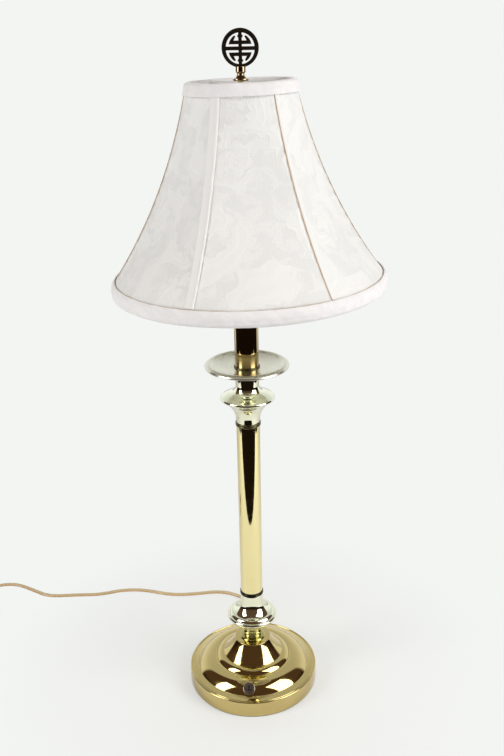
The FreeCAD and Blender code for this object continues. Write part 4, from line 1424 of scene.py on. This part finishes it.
    def bars(self, name: str, finish: Finish, azimuths: Sequence[float], half: float, rise: float,
             out: float, side: float) -> bpy.types.Mesh:
        """Grow bars along some of the ribs.

        Args:
            name: The mesh's name.
            finish: What they are made of.
            azimuths: The ribs that they follow, in degrees.
            half: Half the bar's width, in millimetres.
            rise: Half the bar's thickness, in millimetres.
            out: How far the bar's middle lies outside the bell's outline, in millimetres.
            side: How far the bar lies beside the rib, in millimetres.

        Returns:
            The bars, leaned with the shade.
        """
        recipe = self.rib_recipe(finish)
        high, low = self.seam_span
        middle = (high + low) / 2
        turns = [math.radians(azimuth) for azimuth in azimuths]
        seeds = [(1e-5 * math.sin(a), -1e-5 * math.cos(a), 0.0) for a in turns]
        mesh = recipe.grow(name, {
            "Top radius": self.radius(high, -out) * MM, "Top": high * MM,
            "Middle radius": self.radius(middle, -out) * MM, "Middle": middle * MM,
            "Bottom radius": self.radius(low, -out) * MM, "Bottom": low * MM,
            "Half width": half * MM, "Rise": rise * MM, "Sideways": side * MM}, seeds)
        return set_in_place(mesh, self.leaned())

    def seams(self) -> None:
        """Lay a flat strip along every rib, a bead on one, and a thin tan piping on the others.

        The bead's lighter cloth is partly painted highlight, and the piping's tan partly painted shade.
        """
        left, middle, right, far_right, back_right, back_left = self.rib_azimuths
        # Name, finish, ribs, half width, rise, distance outside the bell, distance beside the rib.
        plan = (("shade_strips_left", SEAM_CLOTH, (left, back_left), 2.1, 0.45, 0.15, -2.0),
                ("shade_strip_middle", SEAM_CLOTH, (middle,), 4.2, 0.25, 0.1, -3.2),
                ("shade_strips_right", SEAM_CLOTH, (right, far_right, back_right),
                 2.1, 0.45, 0.15, 2.3),
                ("shade_bead", BEAD_AND_HIGHLIGHT_CLOTH, (middle,), 1.15, 0.8, 0.3, 0.6),
                ("shade_seam_piping", TAN_PIPING_AND_SHADOW, (left, right, far_right, back_right, back_left),
                 0.42, 0.40, 0.30, 0.0))
        for name, finish, azimuths, *sizes in plan:
            mesh = self.bars(name, finish, azimuths, *sizes)
            piece = new_piece(name, mesh, finish, smooth=60.0)
            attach(piece, "shade")
        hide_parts("shade_piping")
        # The thin tan ring over the bottom trim is painted shadow.
        hem = new_piece("shade_hem_thread", self.hem_shadow_mesh(), HEM_SHADOW_LINE, smooth=60.0)
        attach(hem, "shade")

    def hem_shadow_mesh(self) -> bpy.types.Mesh:
        """Grow the thin tan line along the top of the bottom trim, a painted shadow shaped as a thread.

        Returns:
            The line, leaned with the shade.
        """
        recipe = Recipe("hem_thread")
        sheet = recipe.sheet
        wide, high = recipe.number("Ring radius", 0.135), recipe.number("Height", 0.5)
        thick, wave = recipe.number("Line radius", 0.0003), recipe.number("Wave", 0.0003)
        ring = sheet.node("GeometryNodeCurvePrimitiveCircle", None,
                          {"Resolution": 240, "Radius": wide}, "Curve")
        x, y, _ = sheet.split(sheet.node("GeometryNodeInputPosition"))
        round_it = sheet.maths("ARCTAN2", y, x)
        lift = wave * (sheet.maths("SINE", round_it * 9.0) + sheet.maths("SINE", round_it * 31.0))
        raised = sheet.node("GeometryNodeSetPosition", None,
                            {"Geometry": ring, "Offset": sheet.join(0.0, 0.0, high + lift)})
        section = sheet.node("GeometryNodeCurvePrimitiveCircle", None,
                             {"Resolution": 8, "Radius": thick}, "Curve")
        thread = sheet.node("GeometryNodeCurveToMesh", None,
                            {"Curve": raised, "Profile Curve": section})
        recipe.close(thread, HEM_SHADOW_LINE)
        mesh = recipe.grow("shade_hem_thread", {
            "Ring radius": self.hem[0] * MM, "Height": self.hem[1] * MM,
            "Line radius": self.hem_thread[0] * MM, "Wave": self.hem_thread[1] * MM})
        return set_in_place(mesh, self.leaned())


# ---- the cord -----------------------------------------------------------------------------------------
@dataclass
class LampCord:
    """The flat twin lead: free on the table, then put away in a tied coil with its plug.

    The route and the coil's sizes are in millimetres.  The coil winds inwards on the table, climbs
    for half a turn and winds outwards on top; coil_radii are its outer and inner radius, and
    coil_layers the heights of its two layers.
    """

    width: float = 0.0052
    thickness: float = 0.0026
    length: float = 1.8
    exit: Point3 = (0.0, 0.0962, 0.0095)
    route: tuple[Point3, ...] = (
        (0, 96.2, 9.5), (0, 109, 9.5), (-0.5, 124, 4.0), (-3, 139, 1.5), (-14, 157, 1.4),
        (-44, 171, 1.4), (-79, 165, 1.4), (-113, 164, 1.4), (-150, 177, 1.4), (-181, 178, 1.4),
        (-211, 168, 1.4), (-246, 168, 1.4), (-283, 166, 1.4), (-306, 181, 1.4), (-337, 199, 1.4),
        (-367, 192.9, 1.4))
    coil_centre: Point2 = (-404.0, 153.8)
    coil_radii: Point2 = (38.4, 19.9)
    coil_turns: float = 3.25
    coil_climb: float = 0.5
    coil_tail: float = 0.25
    coil_layers: Point2 = (1.6, 4.5)
    points_per_turn: int = 16
    section_steps: int = 20
    plug_z: float = 7.0

    def coil_point(self, turn: float) -> Point3:
        """Find a control point of the coil.

        Args:
            turn: Turns from the coil's start.

        Returns:
            The point, in millimetres; its radius is a little more than the coil's own, because the
            spline runs inside its control points.
        """
        outer, inner = self.coil_radii
        pitch = (outer - inner) / self.coil_turns
        low, high = self.coil_layers
        climbed = turn - self.coil_turns
        if climbed <= 0:
            r, z = outer - pitch * turn, low
        elif climbed <= self.coil_climb:
            share = climbed / self.coil_climb
            r = inner - pitch * self.coil_climb * share * (1 - share)
            z = low + (high - low) * (0.5 - 0.5 * math.cos(math.pi * share))
        else:
            r, z = inner + pitch * (climbed - self.coil_climb), high
        r /= math.cos(math.pi / self.points_per_turn)
        a = math.pi / 2 + math.tau * turn
        return (self.coil_centre[0] + r * math.cos(a), self.coil_centre[1] + r * math.sin(a), z)

    def control_points(self) -> list[Point3]:
        """List the control points of the whole lead.

        Returns:
            The points from the base to the plug, in millimetres.
        """
        last = 2 * self.coil_turns + self.coil_climb + self.coil_tail
        turns = [i / self.points_per_turn for i in range(int(last * self.points_per_turn) + 1)]
        points = list(self.route) + [self.coil_point(turn) for turn in turns]
        x, y, z = points[-1]
        return points + [(x - 1.5, y - 9, z + 0.4), (x - 2.4, y - 16, self.plug_z - 0.3),
                         (x - 2.5, y - 22, self.plug_z)]

    def centreline(self) -> list[Vector]:
        """Read the lead's smooth centreline from its spline.

        Returns:
            Its points from the base to the plug, in metres.
        """
        data = bpy.data.curves.new("lead_route", "CURVE")
        data.dimensions = "3D"
        data.resolution_u = 6
        spline = data.splines.new("NURBS")
        points = self.control_points()
        spline.points.add(len(points) - 1)
        for point, (x, y, z) in zip(spline.points, points):
            point.co = (x * MM, y * MM, z * MM, 1.0)
        spline.order_u = 3
        spline.use_endpoint_u = True
        holder = bpy.data.objects.new("lead_route", data)
        mesh = evaluated_mesh(holder)
        line = [v.co.copy() for v in mesh.vertices]
        bpy.data.objects.remove(holder)
        bpy.data.meshes.remove(mesh)
        return line

    def section(self) -> list[Point2]:
        """Draw the flat twin lead's section: two lobes with a groove between them.

        Returns:
            The section's points, in metres from its middle.
        """
        out = []
        for i in range(self.section_steps):
            a = math.tau * i / self.section_steps
            across, up = math.cos(a), math.sin(a)
            if abs(across) < 0.85:
                groove = 0.72 + 0.28 * min(1.0, abs(across) * 2.2)
                up = math.copysign(min(1.0, abs(up) * 1.5), up) * groove
            out.append((across * self.width / 2, up * self.thickness / 2))
        return out

    def lead_mesh(self, line: Sequence[Vector], travelled: Sequence[float]) -> bpy.types.Mesh:
        """Sweep the lead's section along its centreline.

        Args:
            line: The centreline's points, in metres.
            travelled: The length of lead up to each point, in metres.

        Returns:
            A closed mesh, whose UV map runs round the lead and along it, in metres.
        """
        section = self.section()
        mesh = bpy.data.meshes.new("lamp_lead")
        work = bmesh.new()
        uv = work.loops.layers.uv.new("UVMap")
        rings = []
        for i, point in enumerate(line):
            ahead = line[min(i + 1, len(line) - 1)] - line[max(i - 1, 0)]
            ahead.normalize()
            side = ahead.cross(Vector((0, 0, 1))).normalized()
            up = side.cross(ahead).normalized()
            rings.append([work.verts.new(point + side * x + up * y) for x, y in section])
        count = len(section)
        for i in range(len(rings) - 1):
            for j in range(count):
                k = (j + 1) % count
                face = work.faces.new((rings[i][j], rings[i + 1][j], rings[i + 1][k], rings[i][k]))
                places = ((j, i), (j, i + 1), (j + 1, i + 1), (j + 1, i))
                for loop, (a, b) in zip(face.loops, places):
                    loop[uv].uv = (a / count, travelled[b])
        work.faces.new(rings[0][::-1])
        work.faces.new(rings[-1])
        bmesh.ops.recalc_face_normals(work, faces=work.faces)
        work.to_mesh(mesh)
        work.free()
        return mesh

    def build(self) -> None:
        line = self.centreline()
        travelled = [0.0]
        for before, after in zip(line, line[1:]):
            travelled.append(travelled[-1] + (after - before).length)
        piece = new_piece("lamp_lead", self.lead_mesh(line, travelled), CLEAR_GOLD, smooth=70.0)
        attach(piece, "lamp_body")
        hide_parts("cord_lead", "cord_coil")
        for node, finish in (("cord_tie", TIE_PLASTIC), ("plug_body", GOLD_PLASTIC),
                             ("plug_blades", TAN_BRASS), ("cord_inner", GOLD_PLASTIC)):
            dress_node(node, finish)
        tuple(self.exit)
        log.info("cord: %.3f m of lead", travelled[-1])


# ---- the studio ---------------------------------------------------------------------------------------
@dataclass
class Studio:
    """The white table, the plain backdrop, three soft lights and the camera.

    The two softboxes stand where the photograph's polished metal shows them, each at an azimuth, an
    elevation and a distance.  The low fill in front lights the shade, and the metal doesn't show it.
    near_glow is how much of the backdrop's tone the table has beside the base, where the shadow
    falls, and glow_reach where that starts to rise and where the table has gone over into it.
    """

    image: Point2 = (504, 756)
    focal_px: float = 893.8
    camera_at: Point3 = (0.0051, -0.8828, 0.7267)
    pitch: float = 21.18
    roll: float = 1.1
    backdrop: Colour = (0.895, 0.912, 0.895)
    table_colour: Colour = (0.90, 0.905, 0.89)
    near_glow: float = 0.48
    glow_reach: Point2 = (0.09, 0.36)
    table_x: Point2 = (-0.95, 0.95)
    table_y: Point2 = (-0.36, 4.0)
    paper: tuple[Colour, Colour] = ((0.96, 0.97, 0.95), (0.62, 0.63, 0.61))
    gloom: tuple[Colour, Colour] = ((0.010, 0.006, 0.004), (0.095, 0.056, 0.036))

    def camera(self) -> None:
        """Set the camera at the photograph's viewing angle."""
        data = bpy.data.cameras.new("camera")
        data.sensor_width = 36.0
        data.lens = self.focal_px / max(self.image) * data.sensor_width
        data.clip_start, data.clip_end = 0.01, 50.0
        camera = bpy.data.objects.new("camera", data)
        bpy.context.collection.objects.link(camera)
        camera.matrix_world = (Matrix.Translation(self.camera_at)
                               @ Matrix.Rotation(math.radians(90 - self.pitch), 4, "X")
                               @ Matrix.Rotation(math.radians(-self.roll), 4, "Z"))
        bpy.context.scene.camera = camera

    def light(self, name: str, place: Point3, aim: Point3, size: Point2, watts: float,
              mirrored: bool = True) -> None:
        """Add one rectangular soft light.

        Args:
            name: Its name.
            place: Where it stands.
            aim: The point that it faces.
            size: Its width and height.
            watts: Its power.
            mirrored: Whether polished metal shows it.
        """
        data = bpy.data.lights.new(name, "AREA")
        data.shape = "RECTANGLE"
        data.size, data.size_y = size
        data.energy = watts
        lamp = bpy.data.objects.new(name, data)
        bpy.context.collection.objects.link(lamp)
        way = Vector(aim) - Vector(place)
        turn = way.to_track_quat("-Z", "Y").to_matrix().to_4x4()
        lamp.matrix_world = Matrix.Translation(place) @ turn
        lamp.visible_camera = False
        lamp.visible_glossy = mirrored

    def table(self) -> None:
        """Lay the white table top, which ends a little in front of the lamp.

        The camera sees it fade into the backdrop, and still sees the lamp's soft shadow.
        """
        (left, right), (near, far) = self.table_x, self.table_y

        def build(work: bmesh.types.BMesh) -> None:
            """Draw the table top's one face."""
            corners = ((left, near, 0), (right, near, 0), (right, far, 0), (left, far, 0))
            work.faces.new([work.verts.new(corner) for corner in corners])

        mesh = mesh_from("table_top", build)
        finish = Moulded("white_table", self.table_colour, roughness=0.9, grain=40.0,
                         grain_depth=0.0, shade=0.995)
        material = finish.material()
        sheet = NodeSheet(material.node_tree)
        x, y, _ = sheet.split(finish.place(sheet))
        away = ((x * x + y * y) ** 0.5).ramp(*self.glow_reach)
        glow = sheet.node("ShaderNodeEmission", None, {"Color": self.backdrop, "Strength": 1.0})
        lit = Wire(sheet, material.node_tree.nodes["Principled BSDF"].outputs[0])
        share = sheet.seen_by_camera() * (self.near_glow + away * (1.0 - self.near_glow))
        both = sheet.node("ShaderNodeMixShader", None, {0: share, 1: lit, 2: glow})
        sheet.plug(both, material.node_tree.nodes["Material Output"].inputs["Surface"])
        new_piece("table_top", mesh, finish)

    def world(self) -> None:
        """Light the room: a white backdrop behind the lamp, and a dim room on the camera's side."""
        world = bpy.data.worlds.new("room")
        bpy.context.scene.world = world
        world.use_nodes = True
        sheet = NodeSheet(world.node_tree)
        world.node_tree.nodes.clear()
        way = sheet.node("ShaderNodeTexCoord", None, None, "Generated")
        x, y, z = sheet.split(way)
        edge = sheet.maths("MINIMUM", sheet.maths("ABSOLUTE", x) * 0.5 + 0.10, 0.42)
        behind = (y - edge).ramp(-0.05, 0.05)
        paper = sheet.mix(z.ramp(0.15, 0.75), *self.paper)
        gloom = sheet.mix(z.ramp(-0.05, 0.40), *self.gloom)
        tone = sheet.mix(behind, gloom, paper)
        room = sheet.node("ShaderNodeBackground", None, {"Color": tone, "Strength": 1.0})
        plain = sheet.node("ShaderNodeBackground", None, {"Color": self.backdrop, "Strength": 1.0})
        both = sheet.node("ShaderNodeMixShader", None,
                          {0: sheet.seen_by_camera(), 1: room, 2: plain})
        sheet.make("ShaderNodeOutputWorld", None, {"Surface": both})

    def toward(self, azimuth: float, height: float, distance: float) -> Point3:
        """Find the place of a light.

        Args:
            azimuth: Its azimuth, in degrees.
            height: Its elevation above the table, in degrees.
            distance: Its distance from the base, in metres.

        Returns:
            The place.
        """
        a, e = math.radians(azimuth), math.radians(height)
        return (distance * math.cos(e) * math.sin(a), -distance * math.cos(e) * math.cos(a),
                distance * math.sin(e))

    def build(self) -> None:
        """Set up the whole studio."""
        self.camera()
        self.table()
        self.world()
        low, middle = (0, 0, 0.15), (0, 0, 0.5)
        self.light("softbox_right", self.toward(65.0, 41.0, 1.5), low, size=(0.82, 1.35),
                   watts=15.0)
        self.light("softbox_left", self.toward(-66.0, 37.0, 1.5), low, size=(0.48, 1.15),
                   watts=10.0)
        self.light("front_fill", (0.0, -1.45, 0.08), middle, size=(1.2, 0.5), watts=9.5,
                   mirrored=False)
        bpy.context.scene.view_settings.view_transform = "Standard"


def main() -> None:
    """Build the studio and the lamp's sub-assemblies in order."""
    logging.basicConfig(level=logging.INFO, format="%(name)s: %(message)s")
    for part in (Studio(), LampCord(), Base(), Stem(), LightFittings(), Finial(), Shade()):
        log.info("-- %s", type(part).__name__)
        part.build()


if __name__ == "__main__":
    main()
